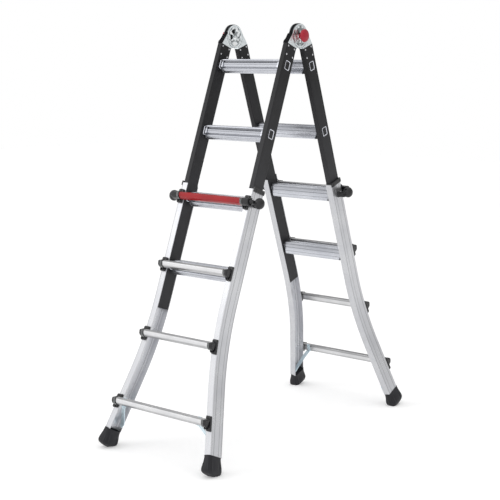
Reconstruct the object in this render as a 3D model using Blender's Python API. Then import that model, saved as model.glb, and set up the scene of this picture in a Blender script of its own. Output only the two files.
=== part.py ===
"""Telescopic hinged multi-position ladder, 4 x 4 rungs, standing as an A-frame.

World frame: origin on the floor midway between the four feet, +Z up, X across the
rungs, -Y towards the front half. Each half is designed in its own ladder frame:
x across, m outward from the fold line through the hinge, s down along the stiles
from the hinge pivot. All sizes are metres.
"""

import math

import bmesh
import bpy
from mathutils import Matrix, Vector

# ---------------------------------------------------------------- driving sizes
LEAN = math.radians(20.27)  # each half leans this far from the vertical
PIVOT_H = 1.6070  # hinge pivot above the floor
PITCH = 0.280  # rung spacing
S_RUNG1 = 0.1370  # pivot to first rung

# inner stiles: rectangular tube
IN_XI, IN_XO = 0.1550, 0.1765  # inner and outer face
IN_M = 0.0355  # mid-plane
IN_D = 0.0610  # depth
IN_WALL = 0.0022
IN_TOP, IN_BOT = 0.0550, 1.1500

# outer stiles: channel open to the inside, straight, then flared
OUT_X = 0.1815  # web outer face on the straight part
OUT_WEB = 0.0027
OUT_W = 0.0285  # flange width
OUT_MB, OUT_MF = 0.0020, 0.0702  # fold-side and front faces
OUT_TB, OUT_TF = 0.0021, 0.0030  # flange thicknesses
OUT_TOP, OUT_END = 0.6440, 1.6540
OUT_SLANT = 0.0060  # the bottom end is this much higher at the front
BEND_A, BEND_B = 1.0900, 1.4200  # flare starts and ends
FLARE = math.radians(13.2)
BEND_R = (BEND_B - BEND_A) / math.sin(FLARE)

N_LOCK = 2  # the locks sit at the first outer rung = third inner rung
S_LOCK = S_RUNG1 + N_LOCK * PITCH

# hinge
DISC_R = 0.0465  # rear leaf's two outer discs
CORE_R = 0.0435  # front leaf's middle disc
POCKET_R = 0.0476  # circular pocket round the outer discs
BLOCK_R = 0.0497  # full-thickness block of the rear leaf starts here
PIN_R = 0.0125
BORE_R = 0.0100
L_IN, L_A, L_B, L_OUT = 0.1545, 0.1590, 0.1720, 0.1768  # plate layers along x

GAP = 0.0004

# ---------------------------------------------------------------- clean scene
for old in list(bpy.data.objects):
    bpy.data.objects.remove(old, do_unlink=True)
for block in list(bpy.data.meshes):
    bpy.data.meshes.remove(block)
for block in list(bpy.data.materials):
    bpy.data.materials.remove(block)


def material(name, colour, rough, metal):
    mat = bpy.data.materials.new(name)
    mat.use_nodes = True
    shader = mat.node_tree.nodes["Principled BSDF"]
    shader.inputs["Base Color"].default_value = (*colour, 1.0)
    shader.inputs["Roughness"].default_value = rough
    shader.inputs["Metallic"].default_value = metal
    mat.diffuse_color = (*colour, 1.0)
    return mat


ANODISED = material("black_anodised", (0.045, 0.045, 0.050), 0.45, 0.6)
ALUMINIUM = material("mill_aluminium", (0.78, 0.79, 0.81), 0.35, 1.0)
TREAD = material("rung_aluminium", (0.66, 0.68, 0.74), 0.38, 1.0)
RED = material("red_coating", (0.55, 0.03, 0.05), 0.40, 0.1)
ZINC = material("zinc_plated_steel", (0.70, 0.76, 0.78), 0.30, 1.0)
PLASTIC = material("black_plastic", (0.022, 0.022, 0.025), 0.50, 0.0)
RED_PLASTIC = material("red_plastic", (0.60, 0.04, 0.07), 0.35, 0.0)
RUBBER = material("black_rubber", (0.020, 0.020, 0.023), 0.75, 0.0)


# ---------------------------------------------------------------- frames
def frame_of(turn):
    """Ladder frame (x, m, s) to world; turn is 0 for the front half, pi for the rear."""
    c, s = math.cos(LEAN), math.sin(LEAN)
    axes = Matrix(
        ((1.0, 0.0, 0.0, 0.0), (0.0, -c, -s, 0.0), (0.0, s, -c, 0.0), (0.0, 0.0, 0.0, 1.0))
    )
    return (
        Matrix.Translation((0.0, 0.0, PIVOT_H)) @ Matrix.Rotation(turn, 4, "Z") @ axes
    )


def empty(name, matrix, parent=None):
    obj = bpy.data.objects.new(name, None)
    bpy.context.scene.collection.objects.link(obj)
    obj.empty_display_size = 0.05
    if parent is None:
        obj.matrix_world = matrix
    else:
        obj.parent = parent
        obj.matrix_local = matrix
    return obj


HALF = {
    "front": empty("front_half", frame_of(0.0)),
    "rear": empty("rear_half", frame_of(math.pi)),
}
EXTENSION = {
    half: empty(
        half + "_extension", Matrix.Translation((0.0, IN_M, OUT_TOP)), HALF[half]
    )
    for half in HALF
}


# ---------------------------------------------------------------- mesh tools
def mesh_of(bm):
    bmesh.ops.recalc_face_normals(bm, faces=bm.faces)
    mesh = bpy.data.meshes.new("shape")
    bm.to_mesh(mesh)
    bm.free()
    return mesh


def loft(rings):
    """A closed solid through rings of points (x, m, s), all of one length."""
    bm = bmesh.new()
    loops = [[bm.verts.new(point) for point in ring] for ring in rings]
    count = len(loops[0])
    for low, high in zip(loops, loops[1:]):
        for i in range(count):
            j = (i + 1) % count
            bm.faces.new((low[i], low[j], high[j], high[i]))
    bm.faces.new(list(reversed(loops[0])))
    bm.faces.new(loops[-1])
    return mesh_of(bm)


def prism(outline, x0, x1):
    """Extrudes an (m, s) outline from x0 to x1."""
    return loft([[(x, m, s) for m, s in outline] for x in (x0, x1)])


def box(x0, x1, m0, m1, s0, s1):
    return prism([(m0, s0), (m1, s0), (m1, s1), (m0, s1)], x0, x1)


def cut_square(half_m, half_s, cut, m=0.0, s=0.0):
    """Square outline with its corners cut off."""
    return [
        (m + a, s + b)
        for a, b in (
            (half_m - cut, -half_s),
            (half_m, -half_s + cut),
            (half_m, half_s - cut),
            (half_m - cut, half_s),
            (-half_m + cut, half_s),
            (-half_m, half_s - cut),
            (-half_m, -half_s + cut),
            (-half_m + cut, -half_s),
        )
    ]


def grown(outline, by):
    """Offsets an outline away from its middle by this much on every side."""
    cm = sum(m for m, _ in outline) / len(outline)
    cs = sum(s for _, s in outline) / len(outline)
    out = []
    for m, s in outline:
        reach = math.hypot(m - cm, s - cs)
        out.append((m + (m - cm) * by / reach, s + (s - cs) * by / reach))
    return out


def circle(radius, m=0.0, s=0.0, count=12, start=0.0):
    return [
        (
            m + radius * math.sin(start + 2 * math.pi * i / count),
            s + radius * math.cos(start + 2 * math.pi * i / count),
        )
        for i in range(count)
    ]


def polar(radius, degrees):
    """A point (m, s) at this angle from the s axis, turning towards m."""
    angle = math.radians(degrees)
    return (radius * math.sin(angle), radius * math.cos(angle))


def arc(radius, first, last, count):
    return [
        polar(radius, first + (last - first) * i / count) for i in range(count + 1)
    ]


def cylinder_m(radius, x, s, m0, m1, count=10):
    """Cylinder whose axis runs along m."""
    ring = [
        (
            x + radius * math.sin(2 * math.pi * i / count),
            s + radius * math.cos(2 * math.pi * i / count),
        )
        for i in range(count)
    ]
    return loft([[(a, m, b) for a, b in ring] for m in (m0, m1)])


def ellipsoid(centre, radii, around=14, rows=8):
    cx, cm, cs = centre
    rings = []
    for row in range(1, rows):
        t = math.pi * row / rows
        rings.append(
            [
                (
                    cx - radii[0] * math.cos(t),
                    cm + radii[1] * math.sin(t) * math.cos(2 * math.pi * i / around),
                    cs + radii[2] * math.sin(t) * math.sin(2 * math.pi * i / around),
                )
                for i in range(around)
            ]
        )
    bm = bmesh.new()
    loops = [[bm.verts.new(p) for p in ring] for ring in rings]
    tips = [
        bm.verts.new((cx - radii[0], cm, cs)),
        bm.verts.new((cx + radii[0], cm, cs)),
    ]
    for low, high in zip(loops, loops[1:]):
        for i in range(around):
            j = (i + 1) % around
            bm.faces.new((low[i], low[j], high[j], high[i]))
    for i in range(around):
        j = (i + 1) % around
        bm.faces.new((loops[0][j], loops[0][i], tips[0]))
        bm.faces.new((loops[-1][i], loops[-1][j], tips[1]))
    return mesh_of(bm)


def combine(base, *steps):
    """Applies ("UNION" or "DIFFERENCE", mesh) steps to a mesh and returns the result."""
    target = bpy.data.objects.new("target", base)
    bpy.context.scene.collection.objects.link(target)
    for operation, mesh in steps:
        tool = bpy.data.objects.new("tool", mesh)
        bpy.context.scene.collection.objects.link(tool)
        modifier = target.modifiers.new("step", "BOOLEAN")
        modifier.operation = operation
        modifier.solver = "EXACT"
        modifier.object = tool
        graph = bpy.context.evaluated_depsgraph_get()
        result = bpy.data.meshes.new_from_object(target.evaluated_get(graph))
        target.modifiers.clear()
        target.data = result
        bpy.data.objects.remove(tool, do_unlink=True)
    mesh = target.data
    bpy.data.objects.remove(target, do_unlink=True)
    return mesh


def mirrored(mesh):
    """A copy of the mesh on the other side of x = 0, with its faces still outward."""
    copy = mesh.copy()
    copy.transform(Matrix.Scale(-1.0, 4, (1.0, 0.0, 0.0)))
    copy.flip_normals()
    return copy


def place(name, mesh, parent, mat, origin=(0.0, 0.0, 0.0), round_angle=None):
    """Adds a named piece: its mesh is in the ladder frame, its origin where asked."""
    mesh = mesh.copy()
    mesh.name = name
    base = Vector(origin)
    offset = base.copy()
    if parent in EXTENSION.values():
        offset = base - Vector((0.0, IN_M, OUT_TOP))
        if origin == (0.0, 0.0, 0.0):
            base = Vector((0.0, IN_M, OUT_TOP))
            offset = Vector((0.0, 0.0, 0.0))
    mesh.transform(Matrix.Translation(-base))
    mesh.materials.clear()
    mesh.materials.append(mat)
    if round_angle:
        mesh.shade_smooth()
        mesh.set_sharp_from_angle(angle=math.radians(round_angle))
    else:
        mesh.shade_flat()
    obj = bpy.data.objects.new(name, mesh)
    bpy.context.scene.collection.objects.link(obj)
    obj.parent = parent
    obj.location = offset
    return obj


def side_name(half, positive):
    """The right-hand side is world +X; the rear half is turned round, so it swaps."""
    if half == "rear":
        positive = not positive
    return "right" if positive else "left"


# ---------------------------------------------------------------- flare curve
def outer_x(s):
    """x of the outer stile's web face at this s."""
    if s <= BEND_A:
        return OUT_X
    if s <= BEND_B:
        return OUT_X + BEND_R * (1 - math.cos(math.asin((s - BEND_A) / BEND_R)))
    return OUT_X + BEND_R * (1 - math.cos(FLARE)) + (s - BEND_B) * math.tan(FLARE)


def outer_slope(s):
    if s <= BEND_A:
        return 0.0
    if s <= BEND_B:
        return math.asin((s - BEND_A) / BEND_R)
    return FLARE


def end_rise(m):
    """How far the slanted bottom end lies above its fold-side edge."""
    return OUT_SLANT * (m - OUT_MB) / (OUT_MF - OUT_MB)


# ---------------------------------------------------------------- inner stile
def inner_stile():
    m0, m1 = IN_M - IN_D / 2, IN_M + IN_D / 2
    c = 0.0020

    def ring(x0, x1, a, b, cut, s):
        return [
            (x0 + cut, a, s),
            (x1 - cut, a, s),
            (x1, a + cut, s),
            (x1, b - cut, s),
            (x1 - cut, b, s),
            (x0 + cut, b, s),
            (x0, b - cut, s),
            (x0, a + cut, s),
        ]

    w = IN_WALL
    body = loft([ring(IN_XI, IN_XO, m0, m1, c, s) for s in (IN_TOP, IN_BOT)])
    core = loft(
        [
            ring(IN_XI + w, IN_XO - w, m0 + w, m1 - w, 0.0008, s)
            for s in (IN_TOP - 0.01, IN_BOT + 0.01)
        ]
    )
    steps = [("DIFFERENCE", core)]
    for k in range(4):
        hole = cut_square(0.0160, 0.0160, 0.0050, IN_M, S_RUNG1 + k * PITCH)
        steps.append(("DIFFERENCE", prism(hole, IN_XI - 0.01, IN_XO + 0.01)))
    return combine(body, *steps)


# ---------------------------------------------------------------- inner rung
def inner_rung():
    """Tread with a level top, a lower lip, a square core whose ends pass through
    the stiles, and a rolled collar outside each stile."""
    c, s = math.cos(LEAN), math.sin(LEAN)
    # section as (h, v): h outward and level, v up, from the middle of the core
    section = [
        (-0.0200, 0.0232),
        (-0.0180, 0.0240),
        (0.0060, 0.0240),
        (0.0085, 0.0220),
        (0.0095, 0.0185),
        (0.0050, 0.0165),
        (0.0050, 0.0115),
        (0.0108, 0.0090),
        (0.0122, -0.0060),
        (0.0090, -0.0080),
        (0.0090, -0.0110),
        (0.0142, -0.0135),
        (0.0130, -0.0240),
        (0.0045, -0.0325),
        (-0.0165, -0.0325),
        (-0.0200, -0.0280),
        (-0.0190, -0.0100),
        (-0.0225, 0.0060),
        (-0.0225, 0.0190),
    ]
    outline = [(h * c + v * s, h * s - v * c) for h, v in section]
    inner = IN_XI - 0.0004
    body = prism(outline, -inner, inner)
    end = cut_square(0.0156, 0.0156, 0.0049)
    collar = cut_square(0.0178, 0.0178, 0.0056)
    bore = cut_square(0.0136, 0.0136, 0.0042)
    cavity = grown(outline, -0.0030)
    steps = []
    for sign in (-1, 1):
        a, b = sorted((sign * (inner - 0.012), sign * 0.1774))
        steps.append(("UNION", prism(end, a, b)))
        a, b = sorted((sign * (IN_XO + 0.0003), sign * 0.1776))
        steps.append(("UNION", prism(collar, a, b)))
    steps.append(("DIFFERENCE", prism(bore, -0.19, 0.19)))
    steps.append(("DIFFERENCE", prism(cavity, -0.1400, 0.1400)))
    return combine(body, *steps)


# ---------------------------------------------------------------- outer stile
def outer_stile():
    cut = 0.0016
    section = [  # (inward from the web face, m)
        (0.0, OUT_MB + cut),
        (0.0, OUT_MF - 0.0065),
        (0.0019, OUT_MF - 0.0019),
        (0.0065, OUT_MF),
        (OUT_W, OUT_MF),
        (OUT_W, OUT_MF - OUT_TF),
        (OUT_WEB + 0.0030, OUT_MF - OUT_TF),
        (OUT_WEB, OUT_MF - OUT_TF - 0.0030),
        (OUT_WEB, OUT_MB + OUT_TB),
        (OUT_W, OUT_MB + OUT_TB),
        (OUT_W, OUT_MB),
        (cut, OUT_MB),
    ]
    steps = 9
    levels = [OUT_TOP, BEND_A]
    levels += [BEND_A + BEND_R * math.sin(FLARE * i / steps) for i in range(1, steps + 1)]
    levels.append(OUT_END)
    rings = []
    for s in levels:
        b = outer_slope(s)
        x = outer_x(s)
        ring = []
        for u, m in section:
            up = end_rise(m) if s == OUT_END else 0.0
            ring.append(
                (
                    x - u * math.cos(b) - up * math.sin(b),
                    m,
                    s + u * math.sin(b) - up * math.cos(b),
                )
            )
        rings.append(ring)
    pin_hole = prism(circle(0.0085, IN_M, S_LOCK + 0.003), OUT_X - 0.02, OUT_X + 0.02)
    return combine(loft(rings), ("DIFFERENCE", pin_hole))


# ---------------------------------------------------------------- outer rung
BAR = [  # (m, s) from the rung's level; the top face is level in the A position
    (0.0790, -0.0115),
    (0.0805, -0.0123),
    (0.1020, -0.0044),
    (0.1040, -0.0018),
    (0.1010, 0.0090),
    (0.0970, 0.0135),
    (0.0880, 0.0175),
    (0.0790, 0.0185),
    (0.0778, 0.0172),
]


def rung_level(index):
    """s of outer rung 1 to 4."""
    return S_LOCK + (index - 1) * PITCH


def rung_reach(index):
    """Half length of the outer rung."""
    x = outer_x(rung_level(index))
    return x - 0.0170 if index == 1 else x - 0.0100


def outer_rung(index):
    level = rung_level(index)
    reach = rung_reach(index)
    bar = [(m, s + level) for m, s in BAR]
    bore = grown(bar, -0.0024)
    steps = []
    if index == 4:
        for sign in (-1, 1):
            steps.append(("UNION", brace(sign, level)))
    steps.append(("DIFFERENCE", prism(bore, -reach - 0.01, reach + 0.01)))
    return combine(prism(bar, -reach, reach), *steps)


def brace(sign, level):
    """Steel strap from under the bottom rung back and down into the stile's foot."""
    path = [
        (0.1760, 0.0960, level + 0.0145),
        (0.1880, 0.0835, level + 0.0195),
        (0.2440, 0.0135, level + 0.0900),
        (0.2590, 0.0066, level + 0.1050),
    ]
    half_w, half_t = 0.0100, 0.0013
    rings = []
    for i, (x, m, s) in enumerate(path):
        a = path[max(i - 1, 0)]
        b = path[min(i + 1, len(path) - 1)]
        dm, ds = b[1] - a[1], b[2] - a[2]
        size = math.hypot(dm, ds)
        nm, ns = ds / size * half_t, -dm / size * half_t
        rings.append(
            [
                (sign * (x - half_w), m - nm, s - ns),
                (sign * (x + half_w), m - nm, s - ns),
                (sign * (x + half_w), m + nm, s + ns),
                (sign * (x - half_w), m + nm, s + ns),
            ]
        )
    return loft(rings)


# ---------------------------------------------------------------- rung bracket
def bracket(index):
    """Moulded saddle on the stile's front flange with a socket for the rung's end."""
    level = rung_level(index)
    face = outer_x(level)
    slope = math.tan(outer_slope(level))
    m0, m1 = OUT_MF + 0.0006, 0.0802
    rings = []
    for ds, inset in ((-0.0240, 0.003), (-0.0210, 0.0), (0.0280, 0.0), (0.0320, 0.004)):
        x = face + slope * ds
        s = level + ds
        rings.append(
            [
                (x - OUT_W + inset, m0, s),
                (x - inset - 0.0010, m0, s),
                (x - inset - 0.0010, m1 - inset, s),
                (x - OUT_W + inset, m1 - inset, s),
            ]
        )
    plate = loft(rings)
    bar = [(m, s + level) for m, s in BAR]
    shell = [(max(m, m0 + 0.0002), s) for m, s in grown(bar, 0.0030)]
    # the neck laps only the front of the bar
    nose = [(max(m, 0.0890), s) for m, s in grown(bar, 0.0030)[2:7]]
    nose += [(0.0890, level + 0.0100), (0.0890, level - 0.0050)]
    inner_x = face - OUT_W + 0.0040
    outer_end = face + (0.0140 if index == 1 else -0.0050)
    cm = sum(m for m, _ in shell) / len(shell)
    cs = sum(s for _, s in shell) / len(shell)

    def shrunk(k):
        return [(cm + (m - cm) * k, cs + (s - cs) * k) for m, s in shell]

    def at(x, ring):
        return [(x, m, s) for m, s in ring]

    boss = loft(
        [
            at(inner_x, shrunk(0.94)),
            at(inner_x + 0.0015, shell),
            at(outer_end - 0.0035, shell),
            at(outer_end, shrunk(0.78)),
        ]
    )
    socket = prism(grown(bar, GAP), inner_x - 0.02, rung_reach(index) + GAP)
    steps = [
        ("UNION", boss),
        ("UNION", prism(nose, face - OUT_W - 0.0030, inner_x + 0.0030)),
        ("DIFFERENCE", socket),
    ]
    if index == 1:
        bore = circle(0.0080, LOCK_A[0], LOCK_A[1] + level, 12)
        steps.append(("DIFFERENCE", prism(bore, rung_reach(1), outer_end + 0.01)))
    return combine(plate, *steps)


# ---------------------------------------------------------------- top collar
def collar():
    """Guide on top of the outer stile; a lip laps its web from outside."""
    m0, m1 = OUT_MB - 0.0012, 0.0680
    xi, xw, xl = IN_XI + 0.0030, OUT_X, OUT_X + 0.0040
    top, lip = OUT_TOP - 0.0080, OUT_TOP + 0.0100
    # L-shaped guide above the stile's end, clear of the inner stile
    guide = [
        (xi, m0),
        (xl - 0.0015, m0),
        (xl, m0 + 0.0015),
        (xl, m1),
        (IN_XO + 0.0014, m1),
        (IN_XO + 0.0014, IN_M - IN_D / 2 - 0.0009),
        (xi, IN_M - IN_D / 2 - 0.0009),
    ]
    ring = loft([[(x, m, s) for x, m in guide] for s in (top, OUT_TOP - GAP)])
    skirt = box(xw + 0.0006, xl, m0 + 0.0016, m1, OUT_TOP - 0.0030, lip)
    return combine(ring, ("UNION", skirt))


# ---------------------------------------------------------------- feet
def foot():
    """Rubber boot under the flared stile, cut square to it and flat on the floor."""
    b = FLARE
    x_axis = Vector((math.cos(b), 0.0, -math.sin(b)))
    m_axis = Vector((0.0, 1.0, 0.0))
    s_axis = Vector((math.sin(b), 0.0, math.cos(b)))
    middle = (OUT_MB + OUT_MF) / 2
    start = Vector((outer_x(OUT_END), middle, OUT_END))
    start = start - x_axis * (OUT_W / 2) + s_axis * 0.0004
    # (along the stile, outer and inner half width, reach to the front and to the fold)
    profile = [
        (0.0000, 0.0152, 0.0180, 0.0390, 0.0355),
        (0.0120, 0.0165, 0.0195, 0.0402, 0.0365),
        (0.0260, 0.0190, 0.0235, 0.0425, 0.0385),
        (0.0380, 0.0212, 0.0285, 0.0445, 0.0395),
        (0.0470, 0.0215, 0.0295, 0.0450, 0.0397),
        (0.0540, 0.0203, 0.0275, 0.0425, 0.0394),
        (0.0600, 0.0180, 0.0235, 0.0350, 0.0385),
        (0.0650, 0.0145, 0.0180, 0.0220, 0.0360),
        (0.0700, 0.0095, 0.0115, 0.0040, 0.0315),
    ]
    rings = []
    for along, outward, inward, front, back in profile:
        ring = []
        for i in range(16):
            t = 2 * math.pi * (i + 0.5) / 16
            cx, cm = math.cos(t), math.sin(t)
            px = math.copysign(abs(cx) ** 0.6, cx) * (outward if cx > 0 else inward)
            pm = math.copysign(abs(cm) ** 0.5, cm) * (front + back) / 2
            pm += (front - back) / 2
            rise = end_rise(middle + pm) * max(0.0, 1 - along / 0.040)
            ring.append(start + s_axis * (along - rise) + x_axis * px + m_axis * pm)
        rings.append(ring)
    # plug inside the channel
    boot = loft(rings)
    plug_rings = []
    for along in (-0.0120, 0.0100):
        base = start + s_axis * along
        plug_rings.append(
            [
                base + x_axis * px + m_axis * pm
                for px, pm in (
                    (-0.0100, -0.0285),
                    (0.0085, -0.0285),
                    (0.0085, 0.0270),
                    (-0.0100, 0.0270),
                )
            ]
        )
    # everything under the floor is cut away
    c, sn = math.cos(LEAN), math.sin(LEAN)
    down = Vector((0.0, -sn, c))  # world down in the ladder frame
    level = Vector((0.0, c, sn))
    corner = down * PIVOT_H
    floor_rings = []
    for depth in (0.0, 0.10):
        floor_rings.append(
            [
                corner + down * depth + Vector((x, 0.0, 0.0)) + level * y
                for x, y in ((0.1, 0.4), (0.5, 0.4), (0.5, 0.9), (0.1, 0.9))
            ]
        )
    return combine(
        boot, ("UNION", loft(plug_rings)), ("DIFFERENCE", loft(floor_rings))
    )


# ---------------------------------------------------------------- rung lock
LOCK_A = (0.0910, 0.0025)  # guide leg: m, and s from the rung's level
LOCK_B = (IN_M, 0.0030)  # locking pin


def rung_lock():
    s = S_LOCK
    knob = ellipsoid((0.2175, 0.0588, s + 0.0010), (0.0200, 0.0210, 0.0222))
    bridge = cylinder_m(0.0085, 0.2040, s + 0.0028, 0.0560, 0.0960)
    leg_a = prism(circle(0.0074, LOCK_A[0], s + LOCK_A[1], 12), 0.1680, 0.2050)
    leg_b = prism(circle(0.0125, LOCK_B[0] + 0.0010, s + LOCK_B[1], 14), 0.1835, 0.2120)
    pin = prism(circle(0.0078, LOCK_B[0], s + LOCK_B[1], 12), 0.1784, 0.1900)
    return combine(
        knob, ("UNION", bridge), ("UNION", leg_a), ("UNION", leg_b), ("UNION", pin)
    )


# ---------------------------------------------------------------- hinge
def hinge_tongue():
    w = IN_WALL + GAP
    return box(
        IN_XI + w,
        IN_XO - w,
        IN_M - IN_D / 2 + w,
        IN_M + IN_D / 2 - w,
        IN_TOP - 0.0020,
        IN_TOP + 0.0600,
    )


CORNER_OUT = (IN_M + IN_D / 2 - 0.0008, IN_TOP - GAP)
CORNER_IN = (0.0020, IN_TOP - GAP)
CORNER_FRONT = (CORNER_OUT[0] - 0.0010, CORNER_OUT[1])  # behind the finger guard


def rear_leaf():
    """Two outer discs with a pivot pin between them, joined by a block at the stile."""
    disc = circle(DISC_R, 0.0, 0.0, 24)
    arm = [CORNER_IN, CORNER_OUT] + [polar(DISC_R - 0.0003, a) for a in (96, 70, 45, 20, 3)]
    block = [CORNER_IN, CORNER_OUT] + [
        polar(BLOCK_R, a) for a in (60, 50, 40, 30, 20, 10, 3)
    ]
    tongue = hinge_tongue()
    return combine(
        prism(block, L_IN, L_OUT),
        ("UNION", tongue),
        ("UNION", prism(arm, L_IN, L_A)),
        ("UNION", prism(arm, L_B, L_OUT)),
        ("UNION", prism(disc, L_IN, L_A)),
        ("UNION", prism(disc, L_B, L_OUT)),
        ("UNION", prism(circle(PIN_R, 0, 0, 16), L_A - 0.001, L_B + 0.001)),
        ("DIFFERENCE", prism(circle(BORE_R, 0, 0, 16), L_IN - 0.01, L_OUT + 0.01)),
    )


def front_leaf():
    """Middle disc with a full-thickness arm whose pockets clear the outer discs."""
    core = circle(CORE_R, 0.0, 0.0, 24)
    arm = [CORNER_IN, CORNER_FRONT] + [polar(CORE_R - 0.0005, a) for a in (79, 60, 40, 20, 4)]
    flare = [CORNER_IN, CORNER_FRONT, polar(0.0494, 79)] + [
        polar(POCKET_R, a) for a in (79, 70, 60, 50, 40, 30, 20, 10, 3)
    ]
    x0, x1 = L_A + GAP, L_B - GAP
    return combine(
        prism(flare, L_IN, L_OUT),
        ("UNION", hinge_tongue()),
        ("UNION", prism(arm, x0, x1)),
        ("UNION", prism(core, x0, x1)),
        ("DIFFERENCE", prism(circle(PIN_R + 0.0004, 0, 0, 16), x0 - 0.01, x1 + 0.01)),
    )


def hinge_guard():
    """Finger guard: full width in front of the front leaf, then a band round the
    middle disc, between the outer discs."""
    shield = [
        (CORNER_FRONT[0] + 0.0006, CORNER_FRONT[1]),
        (CORNER_OUT[0] + 0.0018, CORNER_FRONT[1]),
        polar(0.0620, 62),
        polar(0.0528, 79),
        polar(0.0499, 79.6),
    ]
    inner = arc(CORE_R + 0.0008, 82, 168, 8)
    outer = [
        polar(0.0478 + 0.0040 * max(0.0, (98 - a) / 18), a)
        for a in (168, 155, 143, 131, 119, 108, 98, 89, 79)
    ]
    band = inner + outer
    return combine(
        prism(shield, L_IN, L_OUT), ("UNION", prism(band, L_A + GAP, L_B - GAP))
    )


def hinge_knob():
    """Mushroom-shaped release knob whose stem runs in the pivot's bore."""
    rings = []
    for x, radius in (
        (0.1640, 0.0094),
        (0.1905, 0.0094),
        (0.1905, 0.0260),
        (0.1925, 0.0280),
        (0.1965, 0.0278),
        (0.2005, 0.0245),
        (0.2032, 0.0180),
        (0.2045, 0.0090),
    ):
        rings.append([(x, m, s) for m, s in circle(radius, 0, 0, 20)])
    return loft(rings)


# ---------------------------------------------------------------- assembly
stile_in = inner_stile()
rung_in = inner_rung()
stile_out = outer_stile()
top_collar = collar()
boot = foot()
lock = rung_lock()
brackets = {index: bracket(index) for index in range(1, 5)}
bars = {index: outer_rung(index) for index in range(1, 5)}
leaves = {"front": front_leaf(), "rear": rear_leaf()}
guard = hinge_guard()
knob = hinge_knob()

for half in ("front", "rear"):
    inner_parent, outer_parent = HALF[half], EXTENSION[half]
    for positive in (True, False):
        side = side_name(half, positive)

        def sided(mesh):
            return mesh if positive else mirrored(mesh)

        sign = 1.0 if positive else -1.0
        place(f"{half}_inner_stile_{side}", sided(stile_in), inner_parent, ANODISED)
        place(f"{half}_hinge_leaf_{side}", sided(leaves[half]), inner_parent, ZINC)
        place(f"{half}_outer_stile_{side}", sided(stile_out), outer_parent, ALUMINIUM)
        place(f"{half}_stile_collar_{side}", sided(top_collar), outer_parent, PLASTIC)
        place(f"{half}_foot_{side}", sided(boot), outer_parent, RUBBER, round_angle=40)
        place(
            f"{half}_rung_lock_{side}",
            sided(lock),
            outer_parent,
            PLASTIC,
            origin=(sign * 0.2000, LOCK_B[0], S_LOCK + LOCK_B[1]),
            round_angle=40,
        )
        for index in range(1, 5):
            place(
                f"{half}_bracket_{index}_{side}",
                sided(brackets[index]),
                outer_parent,
                PLASTIC,
            )
        if half == "front":
            place(f"hinge_guard_{side}", sided(guard), inner_parent, PLASTIC)
        else:
            place(
                f"hinge_knob_{side}", sided(knob), inner_parent, RED_PLASTIC, round_angle=40
            )
    for index in range(1, 5):
        mesh = rung_in.copy()
        mesh.transform(
            Matrix.Translation((0.0, IN_M, S_RUNG1 + (index - 1) * PITCH))
        )
        place(f"{half}_inner_rung_{index}", mesh, inner_parent, TREAD)
        if index == 4:
            name = f"{half}_outer_rung_4_braced"
        else:
            name = f"{half}_outer_rung_{index}"
        first_front = half == "front" and index == 1
        place(name, bars[index], outer_parent, RED if first_front else ALUMINIUM)

used = {obj.data for obj in bpy.data.objects if obj.type == "MESH"}
for spare in [mesh for mesh in bpy.data.meshes if mesh not in used]:
    bpy.data.meshes.remove(spare)
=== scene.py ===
"""Looks of the telescopic hinged ladder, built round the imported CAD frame.

Each half is drawn in its own ladder frame: x across, m outward from the fold line,
s down along the stiles from the hinge pivot. All sizes are metres.
"""
import bpy, bmesh, math
from mathutils import Matrix, Vector


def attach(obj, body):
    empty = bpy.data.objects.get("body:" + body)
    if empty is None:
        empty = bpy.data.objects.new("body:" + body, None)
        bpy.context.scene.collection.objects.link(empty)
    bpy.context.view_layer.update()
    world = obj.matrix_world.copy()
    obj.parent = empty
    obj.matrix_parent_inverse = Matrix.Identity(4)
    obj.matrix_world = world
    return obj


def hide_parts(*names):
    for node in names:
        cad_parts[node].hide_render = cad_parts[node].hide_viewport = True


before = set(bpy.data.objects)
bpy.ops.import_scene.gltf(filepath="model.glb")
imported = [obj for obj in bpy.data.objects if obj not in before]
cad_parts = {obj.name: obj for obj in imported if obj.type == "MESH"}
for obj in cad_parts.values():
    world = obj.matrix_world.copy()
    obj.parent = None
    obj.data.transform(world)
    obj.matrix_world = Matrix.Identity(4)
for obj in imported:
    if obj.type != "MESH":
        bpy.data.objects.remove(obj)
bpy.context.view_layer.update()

# ------------------------------------------------------------------ sizes of the frame
LEAN = math.radians(20.27)
CT, ST = math.cos(LEAN), math.sin(LEAN)
PIVOT_H = 1.6070
PITCH, S_RUNG1 = 0.280, 0.1370
IN_XI, IN_XO, IN_M, IN_D = 0.1550, 0.1765, 0.0355, 0.0610
IN_TOP, IN_BOT = 0.0550, 1.1500
OUT_X, OUT_WEB, OUT_W = 0.1815, 0.0027, 0.0285
OUT_MB, OUT_MF, OUT_TB, OUT_TF = 0.0020, 0.0702, 0.0021, 0.0030
OUT_TOP, OUT_END, OUT_SLANT = 0.6440, 1.6540, 0.0060
BEND_A, BEND_B, FLARE = 1.0900, 1.4200, math.radians(13.2)
BEND_R = (BEND_B - BEND_A) / math.sin(FLARE)
S_LOCK = S_RUNG1 + 2 * PITCH
DISC_R, CORE_R, POCKET_R, BLOCK_R = 0.0465, 0.0435, 0.0476, 0.0497
L_IN, L_A, L_B, L_OUT = 0.1545, 0.1590, 0.1720, 0.1768
GAP = 0.0004
LOCK_A = (0.0910, 0.0025)
LOCK_B = (IN_M, 0.0030)
# grooves of the channel's outside (middle, depth, half width) and ribs of its inside
CHANNEL_GROOVES = ((0.0072, 0.0006, 0.0012), (0.0240, 0.0004, 0.0009), (0.0528, 0.0006, 0.0013))
CHANNEL_RIBS = (0.0590, 0.0120)
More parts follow.
